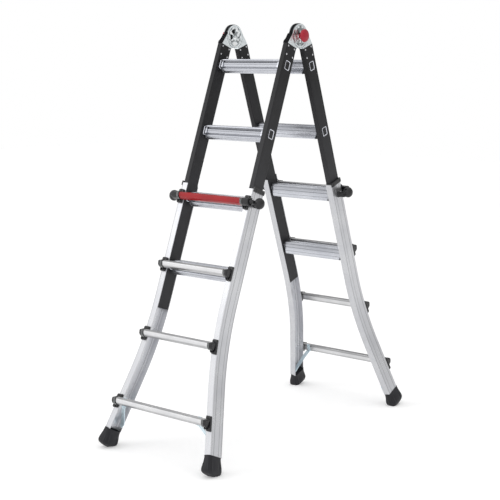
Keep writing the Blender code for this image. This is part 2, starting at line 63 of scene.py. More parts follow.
# recesses of the tread section by height (middle, half width), outward face and fold face, darkened with painted shade
TREAD_FRONT = ((0.0141, 0.0020), (0.0032, 0.0005), (-0.0094, 0.0014), (-0.0198, 0.0005))
TREAD_BACK = ((0.0120, 0.0007), (-0.0017, 0.0008), (-0.0181, 0.0006))
# painted shade rings round the hinge plates' hub and rim (radius, half width)
PLATE_SHADE_RINGS = ((0.0067, 0.0007), (0.0390, 0.0006), (0.0464, 0.0007))
# painted shade: the factor that darkens grooves, recesses and thin rings
GROOVE_SHADE = 0.6


def frame_of(turn):
    axes = Matrix(((1, 0, 0, 0), (0, -CT, -ST, 0), (0, ST, -CT, 0), (0, 0, 0, 1)))
    return Matrix.Translation((0, 0, PIVOT_H)) @ Matrix.Rotation(turn, 4, "Z") @ axes


TURN = {"front": frame_of(0.0), "rear": frame_of(math.pi)}


def outer_x(s):
    if s <= BEND_A:
        return OUT_X
    if s <= BEND_B:
        return OUT_X + BEND_R * (1 - math.cos(math.asin((s - BEND_A) / BEND_R)))
    return OUT_X + BEND_R * (1 - math.cos(FLARE)) + (s - BEND_B) * math.tan(FLARE)


def outer_slope(s):
    if s <= BEND_A:
        return 0.0
    if s <= BEND_B:
        return math.asin((s - BEND_A) / BEND_R)
    return FLARE


def end_rise(m):
    return OUT_SLANT * (m - OUT_MB) / (OUT_MF - OUT_MB)


# ------------------------------------------------------------------ mesh tools
def finish(bm):
    bmesh.ops.recalc_face_normals(bm, faces=bm.faces)
    mesh = bpy.data.meshes.new("shape")
    bm.to_mesh(mesh)
    bm.free()
    return mesh


def loft(rings, caps=True, closed_path=False):
    bm = bmesh.new()
    loops = [[bm.verts.new(p) for p in ring] for ring in rings]
    n = len(loops[0])
    pairs = list(zip(loops, loops[1:]))
    if closed_path:
        pairs.append((loops[-1], loops[0]))
    for low, high in pairs:
        for i in range(n):
            j = (i + 1) % n
            bm.faces.new((low[i], low[j], high[j], high[i]))
    if caps and not closed_path:
        bm.faces.new(list(reversed(loops[0])))
        bm.faces.new(loops[-1])
    return finish(bm)


def prism(outline, x0, x1):
    """Extrudes an (m, s) outline along x."""
    return loft([[(x, m, s) for m, s in outline] for x in (x0, x1)])


def prism_m(outline, m0, m1):
    """Extrudes an (x, s) outline along m."""
    return loft([[(x, m, s) for x, s in outline] for m in (m0, m1)])


def box(x0, x1, m0, m1, s0, s1):
    return prism([(m0, s0), (m1, s0), (m1, s1), (m0, s1)], x0, x1)


def fillet(points, radii, count=4):
    """Rounds the corners of a closed outline; one radius for all or one for each."""
    if not isinstance(radii, (list, tuple)):
        radii = [radii] * len(points)
    out = []
    n = len(points)
    for i, p in enumerate(points):
        r = radii[i]
        a, b = points[i - 1], points[(i + 1) % n]
        p2, a2, b2 = Vector(p), Vector(a), Vector(b)
        if r <= 0:
            out.append(tuple(p2))
            continue
        da, db = (a2 - p2), (b2 - p2)
        la, lb = da.length, db.length
        half = da.angle(db) / 2 if la > 0 and lb > 0 else math.pi / 2
        d = min(r / max(math.tan(half), 0.05), 0.46 * la, 0.46 * lb)
        t1, t2 = p2 + da * (d / la), p2 + db * (d / lb)
        for k in range(count + 1):
            t = k / count
            out.append(tuple(t1 * (1 - t) ** 2 + p2 * (2 * t * (1 - t)) + t2 * t ** 2))
    return out


def square(half_m, half_s, r, m=0.0, s=0.0, count=5):
    pts = [(m + half_m, s - half_s), (m + half_m, s + half_s), (m - half_m, s + half_s), (m - half_m, s - half_s)]
    return fillet(pts, r, count)


def circle(r, m=0.0, s=0.0, count=32):
    return [(m + r * math.sin(2 * math.pi * i / count), s + r * math.cos(2 * math.pi * i / count)) for i in range(count)]


def polar(r, degrees):
    a = math.radians(degrees)
    return (r * math.sin(a), r * math.cos(a))


def arc(r, a, b, count):
    return [polar(r, a + (b - a) * i / count) for i in range(count + 1)]


def revolve_x(profile, m=0.0, s=0.0, count=40, ring=False):
    """Turns (x, radius) points round an axis along x; ring joins last to first."""
    rings = []
    for i in range(count):
        t = 2 * math.pi * i / count
        rings.append([(x, m + r * math.sin(t), s + r * math.cos(t)) for x, r in profile])
    bm = bmesh.new()
    loops = [[bm.verts.new(p) for p in r] for r in rings]
    k = len(profile)
    last = k if ring else k - 1
    for i in range(count):
        a, b = loops[i], loops[(i + 1) % count]
        for j in range(last):
            bm.faces.new((a[j], a[(j + 1) % k], b[(j + 1) % k], b[j]))
    bmesh.ops.remove_doubles(bm, verts=bm.verts, dist=1e-7)
    return finish(bm)


def swept(path, section, axis=(1.0, 0.0, 0.0)):
    """A closed solid: a section of (across, out) offsets carried along a path."""
    rings = []
    side = Vector(axis)
    for i, p in enumerate(path):
        a = Vector(path[max(i - 1, 0)])
        b = Vector(path[min(i + 1, len(path) - 1)])
        run = (b - a).normalized()
        across = (side - run * side.dot(run)).normalized()
        out = run.cross(across)
        rings.append([tuple(Vector(p) + across * u + out * v) for u, v in section])
    return loft(rings)


def ellipsoid(c, r, around=28, rows=18):
    rings = []
    for k in range(1, rows):
        t = math.pi * k / rows
        rings.append([(c[0] - r[0] * math.cos(t),
                       c[1] + r[1] * math.sin(t) * math.cos(2 * math.pi * i / around),
                       c[2] + r[2] * math.sin(t) * math.sin(2 * math.pi * i / around)) for i in range(around)])
    return loft(rings)


def tube_between(p, q, r0, r1=None, count=18, end=0.0):
    """A straight round bar from p to q."""
    p, q = Vector(p), Vector(q)
    r1 = r0 if r1 is None else r1
    run = (q - p).normalized()
    a = run.orthogonal().normalized()
    b = run.cross(a)
    rings = []
    for c, r in ((p - run * end, r0 * 0.6), (p, r0), (q, r1), (q + run * end, r1 * 0.6)) if end else ((p, r0), (q, r1)):
        rings.append([tuple(c + (a * math.cos(2 * math.pi * i / count) + b * math.sin(2 * math.pi * i / count)) * r) for i in range(count)])
    return loft(rings)


def combine(base, *steps):
    target = bpy.data.objects.new("target", base)
    bpy.context.scene.collection.objects.link(target)
    for operation, mesh in steps:
        tool = bpy.data.objects.new("tool", mesh)
        bpy.context.scene.collection.objects.link(tool)
        mod = target.modifiers.new("step", "BOOLEAN")
        mod.operation, mod.solver, mod.object = operation, "EXACT", tool
        graph = bpy.context.evaluated_depsgraph_get()
        result = bpy.data.meshes.new_from_object(target.evaluated_get(graph))
        target.modifiers.clear()
        target.data = result
        bpy.data.objects.remove(tool, do_unlink=True)
    mesh = target.data
    bpy.data.objects.remove(target, do_unlink=True)
    return mesh


def joined(*meshes):
    """Several closed shells in one mesh."""
    bm = bmesh.new()
    for mesh in meshes:
        bm.from_mesh(mesh)
    out = bpy.data.meshes.new("shape")
    bm.to_mesh(out)
    bm.free()
    return out


def shaped(mesh, *mods):
    """Applies modifiers given as (type, {settings}) and returns the new mesh."""
    obj = bpy.data.objects.new("target", mesh)
    bpy.context.scene.collection.objects.link(obj)
    for kind, settings in mods:
        mod = obj.modifiers.new(kind, kind)
        for key, value in settings.items():
            setattr(mod, key, value)
    graph = bpy.context.evaluated_depsgraph_get()
    out = bpy.data.meshes.new_from_object(obj.evaluated_get(graph))
    bpy.data.objects.remove(obj, do_unlink=True)
    return out


def bevelled(mesh, width=0.0006, segments=2, angle=38):
    bm = bmesh.new()
    bm.from_mesh(mesh)
    bmesh.ops.dissolve_limit(bm, angle_limit=math.radians(0.6), verts=bm.verts, edges=bm.edges)
    clean = bpy.data.meshes.new("shape")
    bm.to_mesh(clean)
    bm.free()
    return shaped(clean, ("BEVEL", dict(width=width, segments=segments, limit_method="ANGLE",
                                        angle_limit=math.radians(angle), use_clamp_overlap=True,
                                        harden_normals=False, miter_outer="MITER_ARC")))


def melted(mesh, voxel=0.0009, smooth=5):
    """One moulded skin over overlapping bodies."""
    return shaped(mesh, ("REMESH", dict(mode="VOXEL", voxel_size=voxel)),
                  ("SMOOTH", dict(factor=0.5, iterations=smooth)))


def moved(mesh, matrix):
    copy = mesh.copy()
    copy.transform(matrix)
    return copy


def mirrored(mesh):
    copy = mesh.copy()
    copy.transform(Matrix.Scale(-1.0, 4, (1.0, 0.0, 0.0)))
    copy.flip_normals()
    return copy


# ------------------------------------------------------------------ materials
def new_material(name, colour, rough, metal, coat=0.0, spec=0.5):
    mat = bpy.data.materials.new(name)
    mat.use_nodes = True
    mat.diffuse_color = (*colour, 1.0)
    tree = mat.node_tree
    shader = tree.nodes["Principled BSDF"]
    shader.inputs["Base Color"].default_value = (*colour, 1.0)
    shader.inputs["Roughness"].default_value = rough
    shader.inputs["Metallic"].default_value = metal
    shader.inputs["Coat Weight"].default_value = coat
    shader.inputs["Specular IOR Level"].default_value = spec
    return mat, tree, shader


def node(tree, kind, **settings):
    n = tree.nodes.new(kind)
    for key, value in settings.items():
        if key.startswith("in_"):
            n.inputs[key[3:].replace("_", " ")].default_value = value
        else:
            setattr(n, key, value)
    return n


def ladder_coord(tree):
    """(x, m, s) of the half that a point belongs to, from its place at rest."""
    sep = node(tree, "ShaderNodeSeparateXYZ")
    tree.links.new(node(tree, "ShaderNodeTexCoord").outputs["Object"], sep.inputs[0])
    out = math_node(tree, "ABSOLUTE", sep.outputs["Y"], 0.0)
    down = math_node(tree, "SUBTRACT", PIVOT_H, sep.outputs["Z"])
    s = math_node(tree, "ADD", math_node(tree, "MULTIPLY", out, ST), math_node(tree, "MULTIPLY", down, CT))
    m = math_node(tree, "SUBTRACT", math_node(tree, "MULTIPLY", out, CT), math_node(tree, "MULTIPLY", down, ST))
    join = node(tree, "ShaderNodeCombineXYZ")
    for socket, value in zip(join.inputs, (sep.outputs["X"], m, s)):
        tree.links.new(value, socket)
    return join.outputs[0]


def noise(tree, coord, scale, size=4.0, detail=4.0, rough=0.55, stretch=(1, 1, 1)):
    m = node(tree, "ShaderNodeMapping")
    m.inputs["Scale"].default_value = stretch
    tree.links.new(coord, m.inputs["Vector"])
    n = node(tree, "ShaderNodeTexNoise")
    n.inputs["Scale"].default_value = scale
    n.inputs["Detail"].default_value = detail
    n.inputs["Roughness"].default_value = rough
    tree.links.new(m.outputs["Vector"], n.inputs["Vector"])
    return n.outputs["Fac"]


def ramp(tree, fac, low, high, a, b):
    r = node(tree, "ShaderNodeMapRange")
    r.inputs["From Min"].default_value = low
    r.inputs["From Max"].default_value = high
    r.inputs["To Min"].default_value = a
    r.inputs["To Max"].default_value = b
    tree.links.new(fac, r.inputs["Value"])
    return r.outputs["Result"]


def mix(tree, fac, a, b):
    m = node(tree, "ShaderNodeMix", data_type="RGBA")
    for socket, value in ((m.inputs[6], a), (m.inputs[7], b)):
        if isinstance(value, tuple):
            socket.default_value = (*value, 1.0)
        else:
            tree.links.new(value, socket)
    if isinstance(fac, float):
        m.inputs[0].default_value = fac
    else:
        tree.links.new(fac, m.inputs[0])
    return m.outputs[2]


def math_node(tree, op, a, b):
    m = node(tree, "ShaderNodeMath", operation=op)
    for socket, value in ((m.inputs[0], a), (m.inputs[1], b)):
        if isinstance(value, (int, float)):
            socket.default_value = value
        else:
            tree.links.new(value, socket)
    return m.outputs[0]


def bump(tree, shader, height, strength, distance, below=None):
    b = node(tree, "ShaderNodeBump")
    b.inputs["Strength"].default_value = strength
    b.inputs["Distance"].default_value = distance
    tree.links.new(height, b.inputs["Height"])
    if below is not None:
        tree.links.new(below, b.inputs["Normal"])
    tree.links.new(b.outputs["Normal"], shader.inputs["Normal"])
    return b.outputs["Normal"]


def bands(tree, value, stops):
    """A factor that follows (value, factor) stops, level outside them."""
    low, high = stops[0][0], stops[-1][0]
    place = ramp(tree, value, low, high, 0.0, 1.0)
    r = node(tree, "ShaderNodeFloatCurve")
    curve = r.mapping.curves[0]
    points = [((v - low) / (high - low), f) for v, f in stops]
    curve.points[0].location, curve.points[-1].location = points[0], points[-1]
    for a, b in points[1:-1]:
        curve.points.new(a, b)
    for point in curve.points:
        point.handle_type = "VECTOR"
    r.mapping.update()
    tree.links.new(place, r.inputs["Value"])
    return r.outputs["Value"]


def axes_of(tree, coord):
    sep = node(tree, "ShaderNodeSeparateXYZ")
    tree.links.new(coord, sep.inputs[0])
    return sep.outputs


def grooved(tree, value, lines):
    """One on the open face and a painted-shade factor in each groove given as (middle, half width)."""
    share = None
    for mid, half in lines:
        away = math_node(tree, "ABSOLUTE", math_node(tree, "SUBTRACT", value, mid), 0.0)
        step = ramp(tree, away, half, half * 1.5, GROOVE_SHADE, 1.0)
        share = step if share is None else math_node(tree, "MULTIPLY", share, step)
    return share


def blend_tone(tree, fac, a, b):
    first = math_node(tree, "MULTIPLY", a, math_node(tree, "SUBTRACT", 1.0, fac))
    return math_node(tree, "ADD", first, math_node(tree, "MULTIPLY", b, fac))


def channel_painted_light(tree, coord):
    """Painted shade in the grooves of the channel's outside and beside the ribs of its inside, and painted light that
    brightens the inside faces.
    """
    out = axes_of(tree, coord)
    outside = grooved(tree, out["Y"], [(mid, half) for mid, _, half in CHANNEL_GROOVES])
    within = grooved(tree, out["Y"], [(mid, 0.0010) for mid in CHANNEL_RIBS])
    flare = [(v, outer_x(v)) for v in (0.60, 1.09, 1.15, 1.21, 1.27, 1.33, 1.42, 1.66)]
    reach = bands(tree, out["Z"], flare)
    depth = math_node(tree, "SUBTRACT", reach, math_node(tree, "ABSOLUTE", out["X"], 0.0))
    inside = ramp(tree, depth, 0.0018, 0.0024, 0.0, 1.0)
    inside = math_node(tree, "MULTIPLY", inside, ramp(tree, out["Y"], 0.0038, 0.0041, 0.0, 1.0))
    inside = math_node(tree, "MULTIPLY", inside, ramp(tree, out["Y"], 0.0672, 0.0675, 1.0, 0.0))
    # the inside faces are painted 1.2 times lighter, as bounce light
    return blend_tone(tree, inside, outside, math_node(tree, "MULTIPLY", within, 1.2))


def stile_painted_shade(tree, coord):
    """Anodised tubes: painted shade, darkest at the top and lighter down the length."""
    return ramp(tree, axes_of(tree, coord)["Z"], 0.15, 0.60, 0.5, 1.2)


def near_rung(tree, s):
    """Distance down the stiles from the nearest rung."""
    turn = math_node(tree, "DIVIDE", math_node(tree, "SUBTRACT", s, S_RUNG1 - PITCH / 2), PITCH)
    part = math_node(tree, "FRACT", turn, 0.0)
    return math_node(tree, "MULTIPLY", math_node(tree, "SUBTRACT", part, 0.5), PITCH)


def bar_painted_shade(tree, coord):
    """Painted shade: the ribbed top of the thin bars is darker, and their underside is darker too."""
    off = near_rung(tree, axes_of(tree, coord)["Z"])
    top = ramp(tree, off, -0.0046, -0.0030, 0.55, 1.0)
    return math_node(tree, "MULTIPLY", top, ramp(tree, off, 0.0090, 0.0136, 1.0, 0.7))


def tread_painted_light(tree, coord):
    """Painted shade in the recesses of the tread and towards its upper edge, and a painted highlight on the swaged ends
    and rims.
    """
    out = axes_of(tree, coord)
    off = near_rung(tree, out["Z"])
    across = math_node(tree, "SUBTRACT", out["Y"], IN_M)
    h = math_node(tree, "ADD", math_node(tree, "MULTIPLY", across, CT), math_node(tree, "MULTIPLY", off, ST))
    v = math_node(tree, "SUBTRACT", math_node(tree, "MULTIPLY", across, ST), math_node(tree, "MULTIPLY", off, CT))
    side = ramp(tree, h, -0.0010, 0.0010, 0.0, 1.0)
    lines = blend_tone(tree, side, grooved(tree, v, TREAD_BACK), grooved(tree, v, TREAD_FRONT))
    # painted shade, darker towards the upper edge
    lines = math_node(tree, "MULTIPLY", lines, ramp(tree, v, -0.015, 0.020, 0.9, 0.55))
    # painted highlight on the swaged ends and rolled rims
    end = ramp(tree, math_node(tree, "ABSOLUTE", out["X"], 0.0), 0.1495, 0.1510, 0.0, 1.0)
    return blend_tone(tree, end, lines, 1.2)


def plate_painted_light(tree, coord):
    """Thin rings of painted shade along the raised edges of the hinge plates, round a middle of random painted
    highlights and dark patches.
    """
    out = axes_of(tree, coord)
    square_sum = math_node(tree, "ADD", math_node(tree, "MULTIPLY", out["Y"], out["Y"]), math_node(tree, "MULTIPLY", out["Z"], out["Z"]))
    r = math_node(tree, "SQRT", square_sum, 0.0)
    once = grooved(tree, r, PLATE_SHADE_RINGS)
    ring = math_node(tree, "MULTIPLY", once, once)
    # painted highlights and dark patches in the middle
    blotch = ramp(tree, noise(tree, coord, 66, detail=4, rough=0.5), 0.42, 0.58, 0.30, 1.30)
    inside = ramp(tree, r, 0.0375, 0.0405, 1.0, 0.0)
    return math_node(tree, "MULTIPLY", ring, blend_tone(tree, inside, 1.0, blotch))


def metal_material(name, colour, shade, rough, metal, along, streak=0.5, wear=None, coat=0.0, spec=0.5, tone_of=None, wavy=0.0):
    """Extruded or rolled metal: fine lines along one axis, cloudy tone, handling marks."""
    mat, tree, shader = new_material(name, colour, rough, metal, coat, spec)
    coord = ladder_coord(tree)
    stretch = {"s": (1, 1, 0.012), "x": (0.012, 1, 1), "": (1, 1, 1)}[along]
    lines = noise(tree, coord, 900, detail=3, stretch=stretch)
    broad = noise(tree, coord, 120, detail=2, stretch=stretch)
    cloud = noise(tree, coord, 9, detail=4, rough=0.6)
    marks = noise(tree, coord, 55, detail=8, rough=0.75)
    tone = mix(tree, ramp(tree, cloud, 0.35, 0.68, 0.0, 1.0), colour, shade)
    tone = mix(tree, math_node(tree, "MULTIPLY", ramp(tree, broad, 0.35, 0.65, 0.0, 1.0), 0.35 * streak), tone, shade)
    tone = mix(tree, math_node(tree, "MULTIPLY", ramp(tree, lines, 0.42, 0.62, 0.0, 1.0), 0.30 * streak), tone, shade)
    if wear is not None:
        tone = mix(tree, ramp(tree, marks, 0.66, 0.74, 0.0, 0.45), tone, wear)
    # tone_of multiplies in painted shade and highlights by place
    if tone_of is not None:
        factor = tone_of(tree, coord)
        grey = node(tree, "ShaderNodeCombineXYZ")
        for socket in grey.inputs:
            tree.links.new(factor, socket)
        scaled = node(tree, "ShaderNodeVectorMath", operation="MULTIPLY")
        tree.links.new(tone, scaled.inputs[0])
        tree.links.new(grey.outputs[0], scaled.inputs[1])
        tone = scaled.outputs[0]
    tree.links.new(tone, shader.inputs["Base Color"])
    r = math_node(tree, "ADD", ramp(tree, cloud, 0.3, 0.7, rough - 0.05, rough + 0.06), ramp(tree, lines, 0.3, 0.7, -0.04, 0.05))
    tree.links.new(math_node(tree, "ADD", r, ramp(tree, marks, 0.6, 0.75, 0.0, 0.10)), shader.inputs["Roughness"])
    first = bump(tree, shader, lines, 0.18 * streak, 0.0002)
    second = bump(tree, shader, marks, 0.06, 0.0002, first)
    if wavy:
        bump(tree, shader, noise(tree, coord, 95, detail=2), wavy, 0.004, second)
    return mat


def moulded_material(name, colour, worn, rough, grain=1400, strength=0.25, coat=0.0, spec=0.5):
    """Moulded plastic or rubber: spark-eroded grain, slight tone change and scuffs."""
    mat, tree, shader = new_material(name, colour, rough, 0.0, coat, spec)
    coord = ladder_coord(tree)
    fine = noise(tree, coord, grain, detail=2)
    cloud = noise(tree, coord, 28, detail=4, rough=0.6)
    scuff = noise(tree, coord, 160, detail=8, rough=0.8)
    tone = mix(tree, ramp(tree, cloud, 0.38, 0.68, 0.0, 0.55), colour, worn)
    tone = mix(tree, ramp(tree, scuff, 0.62, 0.72, 0.0, 0.6), tone, worn)
    tree.links.new(tone, shader.inputs["Base Color"])
    tree.links.new(math_node(tree, "ADD", ramp(tree, cloud, 0.3, 0.7, rough - 0.06, rough + 0.07), ramp(tree, scuff, 0.55, 0.72, 0.0, 0.10)), shader.inputs["Roughness"])
    first = bump(tree, shader, fine, strength, 0.00025)
    bump(tree, shader, scuff, 0.06, 0.0003, first)
    return mat


BLACK = metal_material("black_anodised_look", (0.018, 0.018, 0.019), (0.028, 0.028, 0.031), 0.42, 0.0, "s", 0.8, (0.056, 0.056, 0.060), spec=0.20, tone_of=stile_painted_shade)
SILVER = metal_material("mill_aluminium_look", (0.60, 0.605, 0.62), (0.53, 0.535, 0.56), 0.30, 0.86, "s", 1.0, (0.76, 0.76, 0.77), tone_of=channel_painted_light)
BAR_SILVER = metal_material("bar_aluminium_look", (0.72, 0.72, 0.73), (0.62, 0.62, 0.63), 0.30, 0.88, "x", 1.0, (0.78, 0.78, 0.78), tone_of=bar_painted_shade)
RUNG = metal_material("rung_aluminium_look", (0.64, 0.655, 0.70), (0.56, 0.575, 0.625), 0.26, 0.92, "x", 1.0, (0.72, 0.73, 0.75), tone_of=tread_painted_light)
RED_PAINT = metal_material("red_coating_look", (0.34, 0.006, 0.010), (0.25, 0.005, 0.008), 0.34, 0.0, "x", 0.5, (0.44, 0.02, 0.03), coat=0.04, spec=0.36)
ZINC = metal_material("zinc_look", (0.90, 0.945, 0.96), (0.76, 0.81, 0.83), 0.16, 0.82, "", 0.4, (0.92, 0.94, 0.94), tone_of=plate_painted_light, wavy=0.35)
ZINC_BLUE = metal_material("zinc_blue_look", (0.70, 0.82, 0.87), (0.58, 0.71, 0.79), 0.28, 0.45, "", 0.4, (0.82, 0.88, 0.88))
STEEL = metal_material("rivet_look", (0.72, 0.72, 0.74), (0.60, 0.60, 0.63), 0.25, 0.95, "", 0.3, (0.8, 0.8, 0.8))
PLASTIC = moulded_material("black_plastic_look", (0.008, 0.008, 0.0095), (0.016, 0.016, 0.018), 0.24, strength=0.12, spec=0.42)
# light grey with a coat: painted glint on the ribs of the black bracket necks
RIB_GLINT = moulded_material("glint_rib_look", (0.24, 0.25, 0.25), (0.34, 0.35, 0.35), 0.16, strength=0.05, coat=0.5, spec=0.7)
GUARD = moulded_material("guard_plastic_look", (0.003, 0.003, 0.004), (0.007, 0.007, 0.008), 0.50, strength=0.12, spec=0.06)
# dark fill: painted shade behind the plate's windows; also the dark blocks in the tread tubes
DARK = moulded_material("dark_shade_fill_look", (0.004, 0.004, 0.005), (0.008, 0.008, 0.009), 0.55, spec=0.16)
RED_KNOB = moulded_material("red_plastic_look", (0.36, 0.008, 0.024), (0.26, 0.006, 0.018), 0.30, grain=900, strength=0.15, coat=0.06, spec=0.38)
RUBBER = moulded_material("rubber_look", (0.012, 0.012, 0.015), (0.022, 0.022, 0.026), 0.44, grain=1100, strength=0.35, spec=0.27)

# ------------------------------------------------------------------ placing pieces
used = {}


def side_name(half, positive):
    if half == "rear":
        positive = not positive
    return "right" if positive else "left"


def add(name, mesh, half, body, mat, nodes=(), angle=32):
    mesh = mesh.copy()
    mesh.name = name
    mesh.transform(TURN[half])
    mesh.materials.clear()
    mesh.materials.append(mat)
    mesh.shade_smooth()
    mesh.set_sharp_from_angle(angle=math.radians(angle))
    obj = bpy.data.objects.new(name, mesh)
    bpy.context.scene.collection.objects.link(obj)
    mod = obj.modifiers.new("weighted", "WEIGHTED_NORMAL")
    mod.keep_sharp = True
    mod.weight = 60
    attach(obj, body)
    if nodes:
        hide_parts(*nodes)
    return obj


# ------------------------------------------------------------------ black inner stile
def stile_profile(x0, x1, m0, m1, r, count):
    """(x, m) outline; the outer web carries two fine extrusion lines."""
    pts, rad = [], []

    def p(x, m, rr=0.0):
        pts.append((x, m))
        rad.append(rr)

    p(x0, m0, r)
    p(x1, m0, r)
    if count > 1:
        for mid in (0.0115, 0.0605):
            p(x1, mid - 0.0008)
            p(x1 - 0.0004, mid - 0.0003)
            p(x1 - 0.0004, mid + 0.0003)
            p(x1, mid + 0.0008)
    p(x1, m1, r)
    p(x0, m1, r)
    return fillet(pts, rad, count)


def inner_stile_mesh():
    m0, m1 = IN_M - IN_D / 2 - 0.0002, IN_M + IN_D / 2 + 0.0002
    outline = stile_profile(IN_XI - 0.0002, IN_XO + 0.0002, m0, m1, 0.0026, 5)
    levels = [IN_TOP, IN_TOP + 0.0008] + [IN_TOP + 0.0008 + (IN_BOT - IN_TOP - 0.0016) * i / 24 for i in range(1, 24)] + [IN_BOT - 0.0008, IN_BOT]
    body = loft([[(x, m, s) for x, m in outline] for s in levels])
    w = 0.0022
    core = loft([[(x, m, s) for x, m in stile_profile(IN_XI + w, IN_XO - w, m0 + w, m1 - w, 0.0012, 1)] for s in (IN_TOP - 0.02, IN_BOT + 0.02)])
    return combine(body, ("DIFFERENCE", core))


# ------------------------------------------------------------------ inner rung
def rung_section():
    """(h, v): h outward and level, v up. The tread and the face carry fine ribs."""
    pts = [(-0.0200, 0.0228), (-0.0192, 0.0238)]
    h = -0.0182
    while h < 0.0050:
        pts += [(h, 0.0233), (h + 0.0003, 0.0241), (h + 0.0017, 0.0241), (h + 0.0020, 0.0233)]
        h += 0.0030
    pts += [
        (0.0066, 0.0240), (0.0080, 0.0234), (0.0088, 0.0220), (0.0097, 0.0188), (0.0094, 0.0180),
        (0.0054, 0.0168), (0.0048, 0.0160), (0.0048, 0.0122), (0.0054, 0.0114),
        (0.0100, 0.0096), (0.0109, 0.0088), (0.0114, 0.0040), (0.0111, 0.0036), (0.0111, 0.0028), (0.0115, 0.0024),
        (0.0122, -0.0052), (0.0118, -0.0062),
        (0.0092, -0.0074), (0.0087, -0.0082), (0.0087, -0.0106), (0.0093, -0.0114),
        (0.0134, -0.0128), (0.0142, -0.0138), (0.0137, -0.0190), (0.0133, -0.0194), (0.0132, -0.0202), (0.0135, -0.0206),
        (0.0130, -0.0236), (0.0124, -0.0250),
        (0.0056, -0.0318), (0.0042, -0.0326), (-0.0155, -0.0326), (-0.0172, -0.0320),
        (-0.0196, -0.0290), (-0.0201, -0.0276),
        (-0.0196, -0.0190), (-0.0189, -0.0186), (-0.0189, -0.0176), (-0.0195, -0.0172),
        (-0.0192, -0.0104), (-0.0196, -0.0090),
        (-0.0207, -0.0030), (-0.0200, -0.0024), (-0.0202, -0.0010), (-0.0212, -0.0004),
        (-0.0224, 0.0056), (-0.0225, 0.0070), (-0.0225, 0.0110), (-0.0217, 0.0114), (-0.0217, 0.0126), (-0.0225, 0.0130),
        (-0.0225, 0.0184), (-0.0220, 0.0198),
    ]
    return [(h * CT + v * ST, h * ST - v * CT, v) for h, v in pts]


def rung_end(v):
    """Half length of the tread at this height: the ends are trimmed on a slant."""
    if v > 0.016:
        return 0.1475
    if v > -0.006:
        return 0.1500
    return 0.1500 - 0.0085 * min(1.0, (-0.006 - v) / 0.026)


def inner_rung_meshes(level):
    sec = rung_section()
    cuts = [-1.0, -0.97, -0.6, -0.2, 0.2, 0.6, 0.97, 1.0]
    rings = [[(k * rung_end(v), IN_M + m, level + s) for m, s, v in sec] for k in cuts]
    body = loft(rings)
    shells = [body]
    bore_blocks = []
    for sign in (-1, 1):
        # square tube through the stile, with a swage bead against its inner face
        ring = lambda x, half, r: [(sign * x, m, s) for m, s in square(half, half, r, IN_M, level)]
        tube = [
            ring(0.1380, 0.0156, 0.0050), ring(0.1508, 0.0156, 0.0050), ring(0.1514, 0.0168, 0.0056),
            ring(0.1524, 0.0176, 0.0060), ring(0.1536, 0.0176, 0.0060), ring(0.1545, 0.0166, 0.0056),
            ring(0.1600, 0.0156, 0.0050),
        ]
        shells.append(loft(tube))
        # rolled rim outside the stile, open in the middle
        flat = lambda x, half, r: [(sign * x, m, s) for m, s in square(half - 0.0030 * min(1.0, (x - 0.1600) / 0.0150), half, r, IN_M, level)]
        rim = [
            (0.1600, 0.0156, 0.0050), (0.1767, 0.0160, 0.0052), (0.17685, 0.0178, 0.0060), (0.1774, 0.0180, 0.0061),
            (0.1778, 0.0176, 0.0060), (0.17795, 0.0168, 0.0056), (0.1778, 0.0160, 0.0052), (0.1772, 0.0152, 0.0048),
            (0.1760, 0.0147, 0.0046), (0.1600, 0.0146, 0.0046),
        ]
        bm = bmesh.new()
        loops = [[bm.verts.new(p) for p in flat(*k)] for k in rim]
        n = len(loops[0])
        for low, high in zip(loops, loops[1:] + loops[:1]):
            for i in range(n):
                j = (i + 1) % n
                bm.faces.new((low[i], low[j], high[j], high[i]))
        shells.append(finish(bm))
        # dark block in the tube, set back from the rim, so the bore reads dark
        bore_block = [flat(0.1650, 0.0144, 0.0044), flat(0.1750, 0.0144, 0.0044), flat(0.1755, 0.0138, 0.0042),
                flat(0.1755, 0.0100, 0.0030), flat(0.1738, 0.0090, 0.0028)]
        bore_blocks.append(loft(bore_block))
    return joined(*shells), joined(*bore_blocks)


# ------------------------------------------------------------------ silver outer stile
def outer_section():
    """(inward, m) outline of the channel with its grooves, inner ribs and rounded corners."""
    pts, rad = [], []

    def p(u, m, r=0.0):
        pts.append((u, m))
        rad.append(r)

    p(OUT_W, OUT_MB, 0.0006)
    p(0.0, OUT_MB, 0.0021)
    for mid, deep, half in CHANNEL_GROOVES:
        p(0.0, mid - half, 0.0002)
        p(deep, mid - half * 0.5, 0.0002)
        p(deep, mid + half * 0.5, 0.0002)
        p(0.0, mid + half, 0.0002)
    p(0.0, OUT_MF, 0.0066)
    p(OUT_W, OUT_MF, 0.0007)
    p(OUT_W, OUT_MF - OUT_TF, 0.0006)
    p(OUT_WEB, OUT_MF - OUT_TF, 0.0042)
    for mid in CHANNEL_RIBS:
        p(OUT_WEB, mid + 0.0016, 0.0002)
        p(OUT_WEB + 0.0012, mid + 0.0010, 0.0004)
        p(OUT_WEB + 0.0012, mid - 0.0010, 0.0004)
        p(OUT_WEB, mid - 0.0016, 0.0002)
    p(OUT_WEB, OUT_MB + OUT_TB, 0.0012)
    p(OUT_W, OUT_MB + OUT_TB, 0.0006)
    return fillet(pts, rad, 4)


